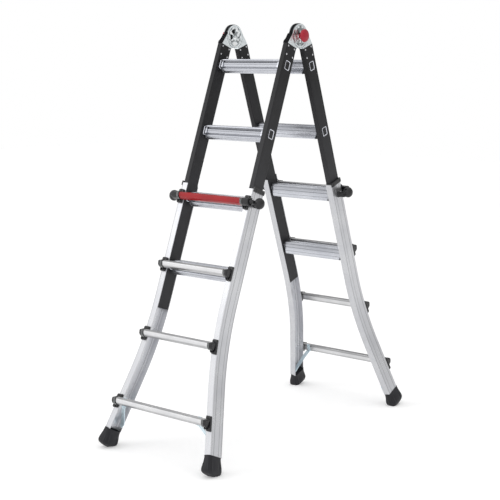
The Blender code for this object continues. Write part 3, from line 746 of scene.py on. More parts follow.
def outer_stile_mesh():
    section = outer_section()
    levels = [OUT_TOP + (BEND_A - OUT_TOP) * i / 8 for i in range(9)]
    levels += [BEND_A + BEND_R * math.sin(FLARE * i / 24) for i in range(1, 25)]
    levels += [BEND_B + (OUT_END - BEND_B) * i / 6 for i in range(1, 7)]
    rings = []
    for s in levels:
        b, x = outer_slope(s), outer_x(s)
        ring = []
        for u, m in section:
            up = end_rise(m) if s == levels[-1] else 0.0
            ring.append((x - u * math.cos(b) - up * math.sin(b), m, s + u * math.sin(b) - up * math.cos(b)))
        rings.append(ring)
    hole = prism(circle(0.0085, IN_M, S_LOCK + 0.003, 28), OUT_X - 0.012, OUT_X + 0.01)
    return combine(loft(rings), ("DIFFERENCE", hole))


# ------------------------------------------------------------------ outer bars
def rung_level(index):
    return S_LOCK + (index - 1) * PITCH


def rung_reach(index):
    x = outer_x(rung_level(index))
    return x - 0.0170 if index == 1 else x - 0.0100


BAR = [(0.0790, -0.0115), (0.0805, -0.0123), (0.1020, -0.0044), (0.1040, -0.0018), (0.1010, 0.0090),
       (0.0970, 0.0135), (0.0880, 0.0175), (0.0790, 0.0185), (0.0778, 0.0172)]


def grown(outline, by):
    cm = sum(m for m, _ in outline) / len(outline)
    cs = sum(s for _, s in outline) / len(outline)
    out = []
    for m, s in outline:
        reach = math.hypot(m - cm, s - cs)
        out.append((m + (m - cm) * by / reach, s + (s - cs) * by / reach))
    return out


def bar_section():
    pts, rad = [(0.0786, -0.0108), (0.0800, -0.0121)], [0.0004, 0.0005]
    a, b = Vector((0.0812, -0.0120)), Vector((0.1010, -0.0047))
    run = (b - a).normalized()
    out = Vector((run.y, -run.x))
    length, k, count = (b - a).length, 0, 6
    step = length / count
    for k in range(count):
        for t, d in ((0.10, -0.0003), (0.25, 0.0003), (0.65, 0.0003), (0.80, -0.0003)):
            q = a + run * step * (k + t) + out * d
            pts.append(tuple(q))
            rad.append(0.00015)
    pts += [(0.1024, -0.0043), (0.1040, -0.0020), (0.1028, 0.0028), (0.1010, 0.0090), (0.0970, 0.0136), (0.0880, 0.0175), (0.0790, 0.0185), (0.0778, 0.0172)]
    rad += [0.0012, 0.0022, 0.004, 0.004, 0.004, 0.006, 0.0009, 0.0009]
    return fillet(pts, rad, 3)


def bar_mesh(index):
    reach, level = rung_reach(index), rung_level(index)
    sec = [(m, s + level) for m, s in bar_section()]
    cuts = [-reach, -reach + 0.001, -reach * 0.6, -reach * 0.2, reach * 0.2, reach * 0.6, reach - 0.001, reach]
    body = loft([[(x, m, s) for m, s in sec] for x in cuts])
    bore = [(m, s + level) for m, s in grown(BAR, -0.0026)]
    return combine(body, ("DIFFERENCE", prism(bore, -reach - 0.01, reach + 0.01)))


# ------------------------------------------------------------------ brackets
def bracket_mesh(index):
    level = rung_level(index)
    face = outer_x(level)
    slope = math.tan(outer_slope(level))
    m0, m1 = OUT_MF + 0.0006, 0.0802
    rings = []
    for ds, cut in ((-0.0242, 0.0050), (-0.0232, 0.0022), (-0.0212, 0.0006), (-0.0180, 0.0), (0.0240, 0.0), (0.0280, 0.0008), (0.0306, 0.0028), (0.0318, 0.0062)):
        x = face + slope * ds
        s = level + ds
        left, right = x - OUT_W + 0.0040, x - 0.0010
        outline = fillet([(left + cut * 0.8, m0), (right - cut * 0.5, m0), (right - cut * 0.8, m1 - cut * 0.35), (left + cut, m1 - cut * 0.35)], [0.0002, 0.0002, 0.0022, 0.0016], 3)
        rings.append([(a, m, s) for a, m in outline])
    plate = loft(rings)
    bar = [(m, s + level) for m, s in BAR]
    shell = [(max(m, m0 + 0.0002), s) for m, s in grown(bar, 0.0030)]
    nose = [(max(m, 0.0890), s) for m, s in grown(bar, 0.0026)[2:7]]
    nose += [(0.0890, level + 0.0100), (0.0890, level - 0.0050)]
    inner_x = face - OUT_W + 0.0040
    outer_end = face + (0.0140 if index == 1 else -0.0050)
    cm = sum(m for m, _ in shell) / len(shell)
    cs = sum(s for _, s in shell) / len(shell)
    soft = fillet(shell, 0.0032, 3)

    def shrunk(k):
        return [(cm + (m - cm) * k, cs + (s - cs) * k) for m, s in soft]

    def at(x, ring):
        return [(x, m, s) for m, s in ring]

    wrap_x = inner_x + 0.0065
    boss = loft([at(wrap_x, shrunk(0.93)), at(wrap_x + 0.0010, shrunk(0.985)), at(wrap_x + 0.0020, soft),
                 at(outer_end - 0.0050, soft), at(outer_end - 0.0024, shrunk(0.95)), at(outer_end - 0.0008, shrunk(0.86)), at(outer_end, shrunk(0.74))])
    # the neck grips the front of the bar and carries two upright ribs
    def grip(by):
        front = [(max(m, 0.0900), s) for m, s in grown(bar, by)[2:7]]
        return fillet(front + [(0.0900, level + 0.0110), (0.0900, level - 0.0046)], 0.0010, 2)

    start = face - OUT_W + 0.0016
    neck = loft([at(start + d, grip(by)) for d, by in (
        (0.0, 0.0012), (0.0004, 0.0020), (0.0022, 0.0020), (0.0026, 0.0032), (0.0046, 0.0032), (0.0050, 0.0020),
        (0.0072, 0.0020), (0.0076, 0.0034), (0.0098, 0.0034), (0.0102, 0.0022), (0.0140, 0.0022))])
    socket = prism(grown(bar, GAP), inner_x - 0.02, rung_reach(index) + GAP)
    # two stiffening webs between the boss and the lower lobe
    web = [prism([(m1 - 0.002, level + 0.0170), (0.0900, level + 0.0150), (0.0850, level + 0.0250), (m1 - 0.002, level + 0.0285)], face - OUT_W + a, face - OUT_W + a + 0.0022) for a in (0.0070, 0.0170)]
    steps = [("UNION", boss), ("UNION", neck),
             ("UNION", web[0]), ("UNION", web[1]), ("DIFFERENCE", socket)]
    if index == 1:
        steps.append(("DIFFERENCE", prism(circle(0.0080, LOCK_A[0], LOCK_A[1] + level, 20), rung_reach(1), outer_end + 0.01)))
    return bevelled(combine(plate, *steps), 0.0005, 2, 42)


def bracket_ribs_mesh(index):
    """Two upright ribs round the front of the bracket's neck, coloured light grey as a painted glint."""
    level = rung_level(index)
    start = outer_x(level) - OUT_W + 0.0016
    bar = [(m, s + level) for m, s in BAR]

    def grip(by):
        front = [(max(m, 0.0912), s) for m, s in grown(bar, by)[2:7]]
        return fillet(front + [(0.0912, level + 0.0104), (0.0912, level - 0.0040)], 0.0010, 2)

    out = []
    for a, b in ((0.0024, 0.0048), (0.0074, 0.0100)):
        out.append(loft([[(start + d, m, s) for m, s in grip(by)] for d, by in ((a, 0.0026), (a + 0.0005, 0.0039), (b - 0.0005, 0.0039), (b, 0.0026))]))
    return joined(*out)


def rivet_m(x, m, s, r, tall):
    """A domed head on a face that looks along +m."""
    rings = []
    for h, k in ((0.0, 1.0), (0.25, 1.0), (0.62, 0.86), (0.88, 0.60), (1.0, 0.28)):
        rings.append([(x + r * k * math.cos(2 * math.pi * i / 16), m + tall * h, s + r * k * math.sin(2 * math.pi * i / 16)) for i in range(16)])
    return loft(rings)


def rivet_x(x, m, s, r, tall, out=1.0):
    """A domed head on a face that looks along x."""
    prof = [(x - out * 0.0004, 0.0)] + [(x - out * 0.0004, r)] + [(x + out * tall * h, r * k) for h, k in ((0.25, 1.0), (0.62, 0.84), (0.88, 0.55), (1.0, 0.22), (0.93, 0.0))]
    return revolve_x(prof, m, s, 18)


# ------------------------------------------------------------------ stile collar
def collar_mesh():
    m0, m1 = OUT_MB - 0.0012, 0.0680
    xi, xw, xl = IN_XI + 0.0030, OUT_X, OUT_X + 0.0040
    top, lip = OUT_TOP - 0.0080, OUT_TOP + 0.0100
    guide = [(xi, m0), (xl - 0.0015, m0), (xl, m0 + 0.0015), (xl, m1), (IN_XO + 0.0014, m1),
             (IN_XO + 0.0014, IN_M - IN_D / 2 - 0.0009), (xi, IN_M - IN_D / 2 - 0.0009)]
    ring = loft([[(x, m, s) for x, m in guide] for s in (top, OUT_TOP - GAP)])
    skirt = box(xw + 0.0006, xl, m0 + 0.0016, m1, OUT_TOP - 0.0030, lip)
    body = combine(ring, ("UNION", skirt))
    # a rounded lobe at each end of the band, and a raised middle strip
    for mid in (m0 + 0.0052, m1 - 0.0050):
        lobe = prism(circle(0.0050, mid, OUT_TOP + 0.0010, 22), xw + 0.0007, xl + 0.0006)
        body = combine(body, ("UNION", lobe))
    strip = prism(fillet([(m0 + 0.012, OUT_TOP - 0.0045), (m1 - 0.012, OUT_TOP - 0.0045), (m1 - 0.012, OUT_TOP + 0.0062), (m0 + 0.012, OUT_TOP + 0.0062)], 0.002, 3), xl - 0.001, xl + 0.0006)
    body = combine(body, ("UNION", strip))
    return bevelled(body, 0.0006, 2, 40)


# ------------------------------------------------------------------ boots
BOOT = [  # along the stile, outer and inner half width, reach to the front and the fold
    (0.0000, 0.0148, 0.0176, 0.0384, 0.0349), (0.0010, 0.0153, 0.0181, 0.0390, 0.0355), (0.0040, 0.0156, 0.0184, 0.0393, 0.0358),
    (0.0120, 0.0164, 0.0195, 0.0402, 0.0364), (0.0190, 0.0175, 0.0212, 0.0412, 0.0373), (0.0260, 0.0190, 0.0238, 0.0426, 0.0384),
    (0.0320, 0.0203, 0.0264, 0.0438, 0.0390), (0.0380, 0.0212, 0.0285, 0.0446, 0.0395), (0.0430, 0.0215, 0.0294, 0.0450, 0.0397),
    (0.0480, 0.0214, 0.0293, 0.0449, 0.0397), (0.0520, 0.0208, 0.0284, 0.0436, 0.0395), (0.0560, 0.0197, 0.0264, 0.0405, 0.0390),
    (0.0600, 0.0179, 0.0234, 0.0350, 0.0384), (0.0640, 0.0152, 0.0190, 0.0255, 0.0366), (0.0680, 0.0115, 0.0140, 0.0110, 0.0335),
    (0.0710, 0.0070, 0.0085, -0.0020, 0.0290),
]


def boot_mesh():
    b = FLARE
    xa, ma, sa = Vector((math.cos(b), 0, -math.sin(b))), Vector((0, 1, 0)), Vector((math.sin(b), 0, math.cos(b)))
    middle = (OUT_MB + OUT_MF) / 2
    start = Vector((outer_x(OUT_END), middle, OUT_END)) - xa * (OUT_W / 2) + sa * 0.0004
    count = 64

    def point(along, o, i, f, k, turn, deep=0.0):
        t = 2 * math.pi * turn
        cx, cm = math.cos(t), math.sin(t)
        px = math.copysign(abs(cx) ** 0.6, cx) * ((o if cx > 0 else i) - deep)
        pm = math.copysign(abs(cm) ** 0.5, cm) * ((f + k) / 2 - deep) + (f - k) / 2
        rise = end_rise(middle + pm) * max(0.0, 1 - along / 0.040)
        p = start + sa * (along - rise) + xa * px + ma * pm
        # the worn sole is flat on the floor
        low = p.z * CT - p.y * ST - PIVOT_H
        if low > 0:
            p = p - Vector((0.0, -ST, CT)) * low
        return tuple(p)

    rings = []
    for row, (along, o, i, f, k) in enumerate(BOOT):
        ring = []
        for n in range(count):
            turn = (n + 0.5) / count
            # soft upright flutes on the bulge
            flute = 0.0
            if 0.014 < along < 0.058:
                fade = math.sin(math.pi * (along - 0.014) / 0.044)
                flute = 0.0024 * fade * (0.5 - 0.5 * math.cos(2 * math.pi * turn * 16))
            ring.append(point(along, o, i, f, k, turn, flute))
        rings.append(ring)
    # the hollow of the sleeve, a shallow pocket round the stile's end
    inner = [[point(a, o - 0.0022, i - 0.0022, f - 0.0022, k - 0.0022, (n + 0.5) / count) for n in range(count)]
             for a, o, i, f, k in ((0.0002, 0.0148, 0.0176, 0.0384, 0.0349), (0.0060, 0.0148, 0.0176, 0.0384, 0.0349))]
    rings = list(reversed(inner)) + rings
    return loft(rings)


def boot_lip():
    """Rolled lip round the mouth of the boot's sleeve."""
    b = FLARE
    xa, ma, sa = Vector((math.cos(b), 0, -math.sin(b))), Vector((0, 1, 0)), Vector((math.sin(b), 0, math.cos(b)))
    middle = (OUT_MB + OUT_MF) / 2
    start = Vector((outer_x(OUT_END), middle, OUT_END)) - xa * (OUT_W / 2) + sa * 0.0004
    rings = []
    for along, grow in ((-0.0006, -0.0004), (0.0002, 0.0009), (0.0026, 0.0010), (0.0036, -0.0006)):
        ring = []
        for n in range(64):
            t = 2 * math.pi * (n + 0.5) / 64
            cx, cm = math.cos(t), math.sin(t)
            px = math.copysign(abs(cx) ** 0.6, cx) * ((0.0152 if cx > 0 else 0.0180) + grow)
            pm = math.copysign(abs(cm) ** 0.5, cm) * ((0.0389 + 0.0354) / 2 + grow) + (0.0389 - 0.0354) / 2
            ring.append(tuple(start + sa * (along - end_rise(middle + pm)) + xa * px + ma * pm))
        rings.append(ring)
    inner = []
    for along in (0.0036, -0.0006):
        ring = []
        for n in range(64):
            t = 2 * math.pi * (n + 0.5) / 64
            cx, cm = math.cos(t), math.sin(t)
            px = math.copysign(abs(cx) ** 0.6, cx) * ((0.0152 if cx > 0 else 0.0180) - 0.0016)
            pm = math.copysign(abs(cm) ** 0.5, cm) * ((0.0389 + 0.0354) / 2 - 0.0016) + (0.0389 - 0.0354) / 2
            ring.append(tuple(start + sa * (along - end_rise(middle + pm)) + xa * px + ma * pm))
        inner.append(ring)
    return loft(rings + inner, caps=False, closed_path=True)


# ------------------------------------------------------------------ rung lock
def lock_mesh():
    s = S_LOCK
    knob = ellipsoid((0.2175, 0.0588, s + 0.0010), (0.0200, 0.0210, 0.0222))
    bridge = tube_between((0.2040, 0.0560, s + 0.0024), (0.2040, 0.0935, s + 0.0028), 0.0088, end=0.0015)
    leg_a = tube_between((0.1680, LOCK_A[0], s + LOCK_A[1]), (0.2045, LOCK_A[0], s + LOCK_A[1]), 0.0074)
    leg_b = tube_between((0.1835, LOCK_B[0] + 0.001, s + LOCK_B[1]), (0.2120, LOCK_B[0] + 0.006, s + LOCK_B[1]), 0.0112, 0.0124)
    flange = tube_between((0.1830, LOCK_B[0] + 0.001, s + LOCK_B[1]), (0.1868, LOCK_B[0] + 0.001, s + LOCK_B[1]), 0.0128)
    body = joined(knob, bridge, leg_a, leg_b, flange)
    return melted(body, 0.0013, 4)


def lock_pin_mesh():
    return bevelled(prism(circle(0.0078, LOCK_B[0], S_LOCK + LOCK_B[1], 28), 0.1784, 0.1900), 0.0008, 3, 40)


# ------------------------------------------------------------------ hinge
CORNER_OUT = (IN_M + IN_D / 2 - 0.0008, IN_TOP - GAP)
CORNER_IN = (0.0020, IN_TOP - GAP)
CORNER_FRONT = (CORNER_OUT[0] - 0.0010, CORNER_OUT[1])


def hinge_tongue():
    w = 0.0022 + GAP
    return box(IN_XI + w, IN_XO - w, IN_M - IN_D / 2 + w, IN_M + IN_D / 2 - w, IN_TOP - 0.0020, IN_TOP + 0.0600)


def from_yz(y, z):
    """Ladder-frame (m, s) of a point on the rear leaf, y and z from the pivot."""
    return (y * CT + z * ST, y * ST - z * CT)


def kidney(r0, r1, a, b):
    """Bent oval between two radii; angles in degrees from straight up, towards the front."""
    pts = []
    for k in range(9):
        t = math.radians(a + (b - a) * k / 8)
        pts.append(from_yz(-r1 * math.sin(t), r1 * math.cos(t)))
    for k in range(9):
        t = math.radians(b + (a - b) * k / 8)
        pts.append(from_yz(-r0 * math.sin(t), r0 * math.cos(t)))
    rad = [0.0] * 18
    for k in (0, 8, 9, 17):
        rad[k] = 0.0030
    return fillet(pts, rad, 4)


def rear_leaf_mesh():
    disc = circle(DISC_R, 0, 0, 72)
    arm = [CORNER_IN, CORNER_OUT] + [polar(DISC_R - 0.0003, a) for a in (96, 70, 45, 20, 3)]
    block = [CORNER_IN, CORNER_OUT] + arc(BLOCK_R, 60, 3, 16)
    plates = []
    for a, b in ((L_IN, L_A), (L_B, L_OUT)):
        plates.append(combine(prism(arm, a, b), ("UNION", prism(disc, a, b))))
    windows = [kidney(0.0130, 0.0300, 2, 52), kidney(0.0130, 0.0290, 72, 122)]
    inner = plates[0]
    for w in windows:
        inner = combine(inner, ("DIFFERENCE", prism(w, L_IN - 0.01, L_A - 0.0006)))
    spot = from_yz(0.0400, 0.0040)
    inner = combine(inner, ("DIFFERENCE", prism(circle(0.0024, spot[0], spot[1], 20), L_IN - 0.01, L_A - 0.001)))
    outer = plates[1]
    a, b = from_yz(0.0330, -0.0270), from_yz(0.0290, -0.0520)
    run = Vector((b[0] - a[0], b[1] - a[1])).normalized()
    side = Vector((-run.y, run.x)) * 0.0021
    slot = fillet([(a[0] + side.x, a[1] + side.y), (b[0] + side.x, b[1] + side.y), (b[0] - side.x, b[1] - side.y), (a[0] - side.x, a[1] - side.y)], 0.0019, 4)
    outer = combine(outer, ("DIFFERENCE", prism(slot, L_OUT - 0.0022, L_OUT + 0.01)))
    for y, z, r in ((-0.0167, -0.0190, 0.0026), (-0.0150, 0.0060, 0.0030), (-0.0300, 0.0120, 0.0022), (0.0050, 0.0370, 0.0022)):
        m, s = from_yz(y, z)
        outer = combine(outer, ("DIFFERENCE", prism(circle(r, m, s, 20), L_OUT - 0.0018, L_OUT + 0.01)))
    shells = [bevelled(inner, 0.0007, 3, 40), bevelled(outer, 0.0007, 3, 40),
              bevelled(prism(block, L_A + 0.0001, L_B - 0.0001), 0.0003, 1, 40),
              hinge_tongue(), prism(circle(0.0125, 0, 0, 40), L_A - 0.001, L_B + 0.001)]
    # raised rim round the inner plate
    rim = [(L_IN + 0.0002, 0.0404), (L_IN - 0.0007, 0.0407), (L_IN - 0.0013, 0.0416), (L_IN - 0.0015, 0.0430),
           (L_IN - 0.0013, 0.0444), (L_IN - 0.0006, 0.0453), (L_IN + 0.0002, 0.0456)]
    shells.append(revolve_x(rim, 0, 0, 96, ring=True))
    # pressed cone, domed boss and a round eye on the inner plate; a hub in the middle
    for y, z, r, tall in ((0.0130, 0.0170, 0.0092, 0.0034), (0.0065, -0.0150, 0.0100, 0.0022), (0.0250, -0.0020, 0.0058, 0.0024)):
        m, s = from_yz(y, z)
        prof = [(L_IN + 0.0005, 0.0), (L_IN + 0.0005, r), (L_IN - tall * 0.2, r * 0.97), (L_IN - tall * 0.7, r * 0.80), (L_IN - tall, r * 0.52), (L_IN - tall, r * 0.34), (L_IN - tall * 0.78, r * 0.26), (L_IN - tall * 0.78, 0.0)]
        shells.append(revolve_x(prof, m, s, 36))
    hub = [(L_IN + 0.0005, 0.0), (L_IN + 0.0005, 0.0112), (L_IN - 0.0010, 0.0110), (L_IN - 0.0018, 0.0100), (L_IN - 0.0018, 0.0062), (L_IN - 0.0008, 0.0056), (L_IN - 0.0008, 0.0)]
    shells.append(revolve_x(hub, 0, 0, 44))
    # shallow raised ring on the outer plate round the knob
    ring = [(L_OUT - 0.0003, 0.0330), (L_OUT + 0.0006, 0.0334), (L_OUT + 0.0009, 0.0345), (L_OUT + 0.0006, 0.0356), (L_OUT - 0.0003, 0.0360)]
    shells.append(revolve_x(ring, 0, 0, 72, ring=True))
    return joined(*shells)


def front_leaf_mesh():
    core = circle(CORE_R, 0, 0, 64)
    arm = [CORNER_IN, CORNER_FRONT] + [polar(CORE_R - 0.0005, a) for a in (79, 60, 40, 20, 4)]
    flare = [CORNER_IN, CORNER_FRONT, polar(0.0494, 79)] + arc(POCKET_R, 79, 3, 22)
    x0, x1 = L_A + GAP, L_B - GAP
    body = combine(prism(flare, L_IN, L_OUT), ("UNION", prism(arm, x0, x1)), ("UNION", prism(core, x0, x1)),
                   ("DIFFERENCE", prism(circle(0.0129, 0, 0, 40), x0 - 0.01, x1 + 0.01)))
    return joined(bevelled(body, 0.0006, 2, 40), hinge_tongue())


def window_shade_mesh():
    """A dark ring behind the windows of the inner plate: painted shade in the openings."""
    m, s = 0.0, 0.0
    prof = [(L_A - 0.0008, 0.0131), (L_A - 0.0008, 0.0310), (L_A - 0.0002, 0.0310), (L_A - 0.0002, 0.0131)]
    return revolve_x(prof, m, s, 48, ring=True)


def guard_mesh():
    shield = [(CORNER_FRONT[0] + 0.0006, CORNER_FRONT[1]), (CORNER_OUT[0] + 0.0018, CORNER_FRONT[1]),
              (CORNER_OUT[0] + 0.0006, CORNER_FRONT[1] - 0.0100), polar(0.0624, 62), polar(0.0567, 69), polar(0.0530, 78), polar(0.0499, 79.6)]
    inner = arc(CORE_R + 0.0008, 82, 168, 30)
    outer = [polar(0.0478 + 0.0040 * max(0.0, (98 - a) / 18), a) for a in [168 - 89 * k / 32 for k in range(33)]]
    band = inner + outer
    body = combine(prism(shield, L_IN, L_OUT), ("UNION", prism(band, L_A + GAP, L_B - GAP)))
    return bevelled(body, 0.0006, 3, 35)


def knob_mesh():
    k = 0.90
    prof = [(0.1670, 0.0), (0.1670, 0.0090), (0.1674, 0.0094), (0.1900, 0.0094), (0.1903, 0.0230 * k), (0.1903, 0.0262 * k), (0.1910, 0.0274 * k), (0.1925, 0.0280 * k),
            (0.1950, 0.0281 * k), (0.1972, 0.0277 * k), (0.1992, 0.0262 * k), (0.2007, 0.0240 * k), (0.2019, 0.0212 * k), (0.2028, 0.0184 * k), (0.2030, 0.0172 * k),
            (0.2026, 0.0166 * k), (0.2026, 0.0158 * k), (0.2031, 0.0152 * k), (0.2038, 0.0120 * k), (0.2043, 0.0085 * k), (0.2045, 0.0045 * k), (0.2045, 0.0)]
    return revolve_x([(x + 0.0030, r) for x, r in prof], 0, 0, 56)


def washer_mesh():
    prof = [(L_OUT - 0.0002, 0.0102), (L_OUT - 0.0002, 0.0150), (L_OUT + 0.0010, 0.0150), (L_OUT + 0.0015, 0.0144), (L_OUT + 0.0015, 0.0102)]
    return revolve_x(prof, 0, 0, 44, ring=True)


# ------------------------------------------------------------------ braces
def brace_meshes(sign, level):
    path = [(0.1905, 0.0780, level + 0.0196), (0.1955, 0.0762, level + 0.0200), (0.2005, 0.0715, level + 0.0232), (0.2100, 0.0580, level + 0.0366),
            (0.2190, 0.0440, level + 0.0508), (0.2340, 0.0200, level + 0.0765), (0.2385, 0.0125, level + 0.0850), (0.2425, 0.0080, level + 0.0910), (0.2470, 0.0063, level + 0.0962), (0.2515, 0.0061, level + 0.1010)]
    fine = []
    for i in range(len(path) - 1):
        p0, p1, p2, p3 = (Vector(path[max(i - 1, 0)]), Vector(path[i]), Vector(path[i + 1]), Vector(path[min(i + 2, len(path) - 1)]))
        for k in range(3):
            t = k / 3
            fine.append(0.5 * ((2 * p1) + (p2 - p0) * t + (2 * p0 - 5 * p1 + 4 * p2 - p3) * t * t + (3 * p1 - p0 - 3 * p2 + p3) * t ** 3))
    fine.append(Vector(path[-1]))
    section = fillet([(-0.0085, -0.0012), (0.0085, -0.0012), (0.0085, 0.0004), (0.0071, 0.0016), (-0.0071, 0.0016), (-0.0085, 0.0004)], [0.0003] * 6, 2)
    strap = swept([tuple(p) for p in fine], section)
    if sign < 0:
        strap = mirrored(strap)
    return strap


def clip_mesh(sign, level):
    """Zinc saddle behind and below the bottom bar where the brace is riveted to it."""
    bar = [(m, s + level) for m, s in BAR]
    outer = fillet(grown(bar, 0.0016), 0.0016, 3)
    inner = grown(bar, 0.0004)
    a, b = sorted((sign * 0.1850, sign * 0.2010))
    body = combine(prism(outer, a, b), ("DIFFERENCE", prism(inner, a - 0.01, b + 0.01)),
                   ("INTERSECT", box(a - 0.001, b + 0.001, 0.0600, 0.0850, level - 0.03, level + 0.03)))
    return bevelled(body, 0.0004, 2, 40)


# ------------------------------------------------------------------ build everything
M_stile = inner_stile_mesh()
M_outer = outer_stile_mesh()
M_collar = collar_mesh()
M_boot = boot_mesh()
M_sleeve = boot_lip()
M_lock = lock_mesh()
M_pin = lock_pin_mesh()
M_bracket = {i: bracket_mesh(i) for i in range(1, 5)}
M_ribs = {i: bracket_ribs_mesh(i) for i in range(1, 5)}
M_bar = {i: bar_mesh(i) for i in range(1, 5)}
M_leaf = {"front": front_leaf_mesh(), "rear": rear_leaf_mesh()}
M_window_shade = window_shade_mesh()
M_guard = guard_mesh()
M_knob = knob_mesh()
M_washer = washer_mesh()

for half in ("front", "rear"):
    ladder, extension = half + "_ladder", half + "_extension"
    for positive in (True, False):
        side = side_name(half, positive)
        sign = 1.0 if positive else -1.0

        def sided(mesh):
            return mesh if positive else mirrored(mesh)

        add(f"stile_{half}_{side}", sided(M_stile), half, ladder, BLACK, [f"{half}_inner_stile_{side}"])
        add(f"leaf_{half}_{side}", sided(M_leaf[half]), half, ladder, ZINC, [f"{half}_hinge_leaf_{side}"], angle=40)
        add(f"channel_{half}_{side}", sided(M_outer), half, extension, SILVER, [f"{half}_outer_stile_{side}"])
        add(f"collar_{half}_{side}", sided(M_collar), half, extension, PLASTIC, [f"{half}_stile_collar_{side}"], angle=40)
        add(f"boot_{half}_{side}", sided(M_boot), half, extension, RUBBER, [f"{half}_foot_{side}"], angle=50)
        add(f"boot_lip_{half}_{side}", sided(M_sleeve), half, extension, RUBBER, angle=50)
        add(f"lock_{half}_{side}", sided(M_lock), half, f"{half}_lock_{side}", PLASTIC, [f"{half}_rung_lock_{side}"], angle=70)
        add(f"lock_pin_{half}_{side}", sided(M_pin), half, f"{half}_lock_{side}", STEEL, angle=40)
        for i in range(1, 5):
            add(f"bracket_{half}_{i}_{side}", sided(M_bracket[i]), half, extension, PLASTIC, [f"{half}_bracket_{i}_{side}"], angle=42)
            add(f"bracket_ribs_{half}_{i}_{side}", sided(M_ribs[i]), half, extension, RIB_GLINT, angle=50)
            level = rung_level(i)
            face, slope = outer_x(level), math.tan(outer_slope(level))
            heads = [rivet_m(face - OUT_W / 2 + slope * ds, 0.0797, level + ds, 0.0030, 0.0014) for ds in (-0.0178, 0.0236)]
            add(f"bracket_rivets_{half}_{i}_{side}", sided(joined(*heads)), half, extension, PLASTIC, angle=60)
        heads = []
        for s in (0.063, 0.097):
            for m in (IN_M - 0.020, IN_M + 0.020):
                heads.append(rivet_x(IN_XO + 0.0002, m, s, 0.0036, 0.0011))
                heads.append(rivet_x(IN_XI - 0.0002, m, s, 0.0036, 0.0012, -1.0))
        add(f"leaf_rivets_{half}_{side}", sided(joined(*heads)), half, ladder, STEEL, angle=60)
        strap = brace_meshes(1.0, rung_level(4))
        add(f"brace_{half}_{side}", sided(strap), half, extension, ZINC_BLUE, angle=40)
        add(f"brace_clip_{half}_{side}", sided(clip_mesh(1.0, rung_level(4))), half, extension, ZINC_BLUE, angle=40)
        if half == "front":
            add(f"guard_{side}", sided(M_guard), half, ladder, GUARD, [f"hinge_guard_{side}"], angle=40)
        else:
            add(f"window_{side}", sided(M_window_shade), half, ladder, DARK, angle=40)
            add(f"knob_{side}", sided(M_knob), half, f"release_knob_{side}", RED_KNOB, [f"hinge_knob_{side}"], angle=50)
            add(f"knob_washer_{side}", sided(M_washer), half, ladder, ZINC, angle=40)
    for i in range(1, 5):
        body, bore_block = inner_rung_meshes(S_RUNG1 + (i - 1) * PITCH)
        add(f"tread_{half}_{i}", body, half, ladder, RUNG, [f"{half}_inner_rung_{i}"], angle=35)
        add(f"tread_bore_blocks_{half}_{i}", bore_block, half, ladder, DARK, angle=40)
        red = half == "front" and i == 1
        cad = f"{half}_outer_rung_4_braced" if i == 4 else f"{half}_outer_rung_{i}"
        add(f"bar_{half}_{i}", M_bar[i], half, extension, RED_PAINT if red else BAR_SILVER, [cad], angle=35)

# ------------------------------------------------------------------ floor, light and camera
floor_mesh = loft([[(-14, -14, z), (14, -14, z), (14, 14, z), (-14, 14, z)] for z in (-0.02, -0.0005)])
floor = bpy.data.objects.new("floor", floor_mesh)
bpy.context.scene.collection.objects.link(floor)
mat, tree, shader = new_material("floor_paper", (0.90, 0.90, 0.90), 0.85, 0.0)
coord = node(tree, "ShaderNodeTexCoord").outputs["Object"]
tree.links.new(mix(tree, ramp(tree, noise(tree, coord, 3.0), 0.3, 0.7, 0.0, 1.0), (0.90, 0.90, 0.90), (0.88, 0.88, 0.88)), shader.inputs["Base Color"])
bump(tree, shader, noise(tree, coord, 300), 0.05, 0.0004)
shader.inputs["Emission Color"].default_value = (1, 1, 1, 1)
shader.inputs["Emission Strength"].default_value = 0.22
floor_mesh.materials.append(mat)

world = bpy.data.worlds.new("studio")
bpy.context.scene.world = world
world.use_nodes = True
wt = world.node_tree
background = wt.nodes["Background"]
geo = wt.nodes.new("ShaderNodeTexCoord").outputs["Generated"]
sep = wt.nodes.new("ShaderNodeSeparateXYZ")
wt.links.new(geo, sep.inputs[0])


def wmath(op, a, b):
    m = wt.nodes.new("ShaderNodeMath")
    m.operation = op
    for socket, value in ((m.inputs[0], a), (m.inputs[1], b)):
        if isinstance(value, (int, float)):
            socket.default_value = value
        else:
            wt.links.new(value, socket)
    return m.outputs[0]


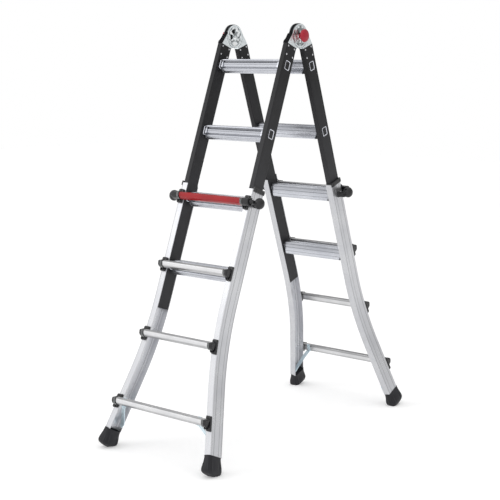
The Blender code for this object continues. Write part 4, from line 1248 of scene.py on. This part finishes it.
# bright towards the left and the front, calmer to the right and behind, dimmest behind left
front_left = wmath("ADD", wmath("MULTIPLY", sep.outputs["X"], -0.62), wmath("MULTIPLY", sep.outputs["Y"], -0.77))
back_left = wmath("ADD", wmath("MULTIPLY", sep.outputs["X"], -0.77), wmath("MULTIPLY", sep.outputs["Y"], 0.62))
level = wmath("ADD", wmath("MULTIPLY", front_left, 0.36), 1.04)
level = wmath("SUBTRACT", level, wmath("MULTIPLY", wmath("MAXIMUM", back_left, 0.0), 0.58))
level = wmath("MAXIMUM", level, 0.15)
grey = wt.nodes.new("ShaderNodeCombineXYZ")
for k in range(3):
    wt.links.new(level, grey.inputs[k])
path = wt.nodes.new("ShaderNodeLightPath")
pick = wt.nodes.new("ShaderNodeMix")
pick.data_type = "VECTOR"
wt.links.new(path.outputs["Is Camera Ray"], pick.inputs[0])
wt.links.new(grey.outputs[0], pick.inputs[4])
pick.inputs[5].default_value = (1.0, 1.0, 1.0)
wt.links.new(pick.outputs[1], background.inputs["Color"])
background.inputs["Strength"].default_value = 1.0


def area(name, place, aim, size, power, colour=(1, 1, 1)):
    light = bpy.data.lights.new(name, "AREA")
    light.shape = "RECTANGLE"
    light.size, light.size_y = size
    light.energy = power
    light.color = colour
    obj = bpy.data.objects.new(name, light)
    bpy.context.scene.collection.objects.link(obj)
    obj.location = place
    obj.rotation_euler = (Vector(aim) - Vector(place)).to_track_quat("-Z", "Y").to_euler()
    return obj


area("key", (-3.2, -4.2, 4.2), (0, -0.2, 0.7), (2.8, 2.8), 37)
area("top", (0.4, 0.6, 4.6), (0, 0, 0.6), (3.0, 3.0), 12)

yaw, pitch, roll = map(math.radians, (38.7724, 8.6800, 0.5992))
back = Vector((math.sin(yaw) * math.cos(pitch), -math.cos(yaw) * math.cos(pitch), math.sin(pitch)))
right = Vector((math.cos(yaw), math.sin(yaw), 0))
up = back.cross(right)
r2 = math.cos(roll) * right + math.sin(roll) * up
u2 = -math.sin(roll) * right + math.cos(roll) * up
cam = bpy.data.objects.new("camera", bpy.data.cameras.new("camera"))
bpy.context.scene.collection.objects.link(cam)
view = Matrix((r2, u2, back)).transposed().to_4x4()
view.translation = Vector((2.9855, -3.7970, 1.4770))
cam.matrix_world = view
cam.data.lens = 1187.26 / 500 * 36
cam.data.sensor_width = 36
cam.data.clip_end = 200
bpy.context.scene.camera = cam
bpy.context.scene.view_settings.view_transform = "Standard"
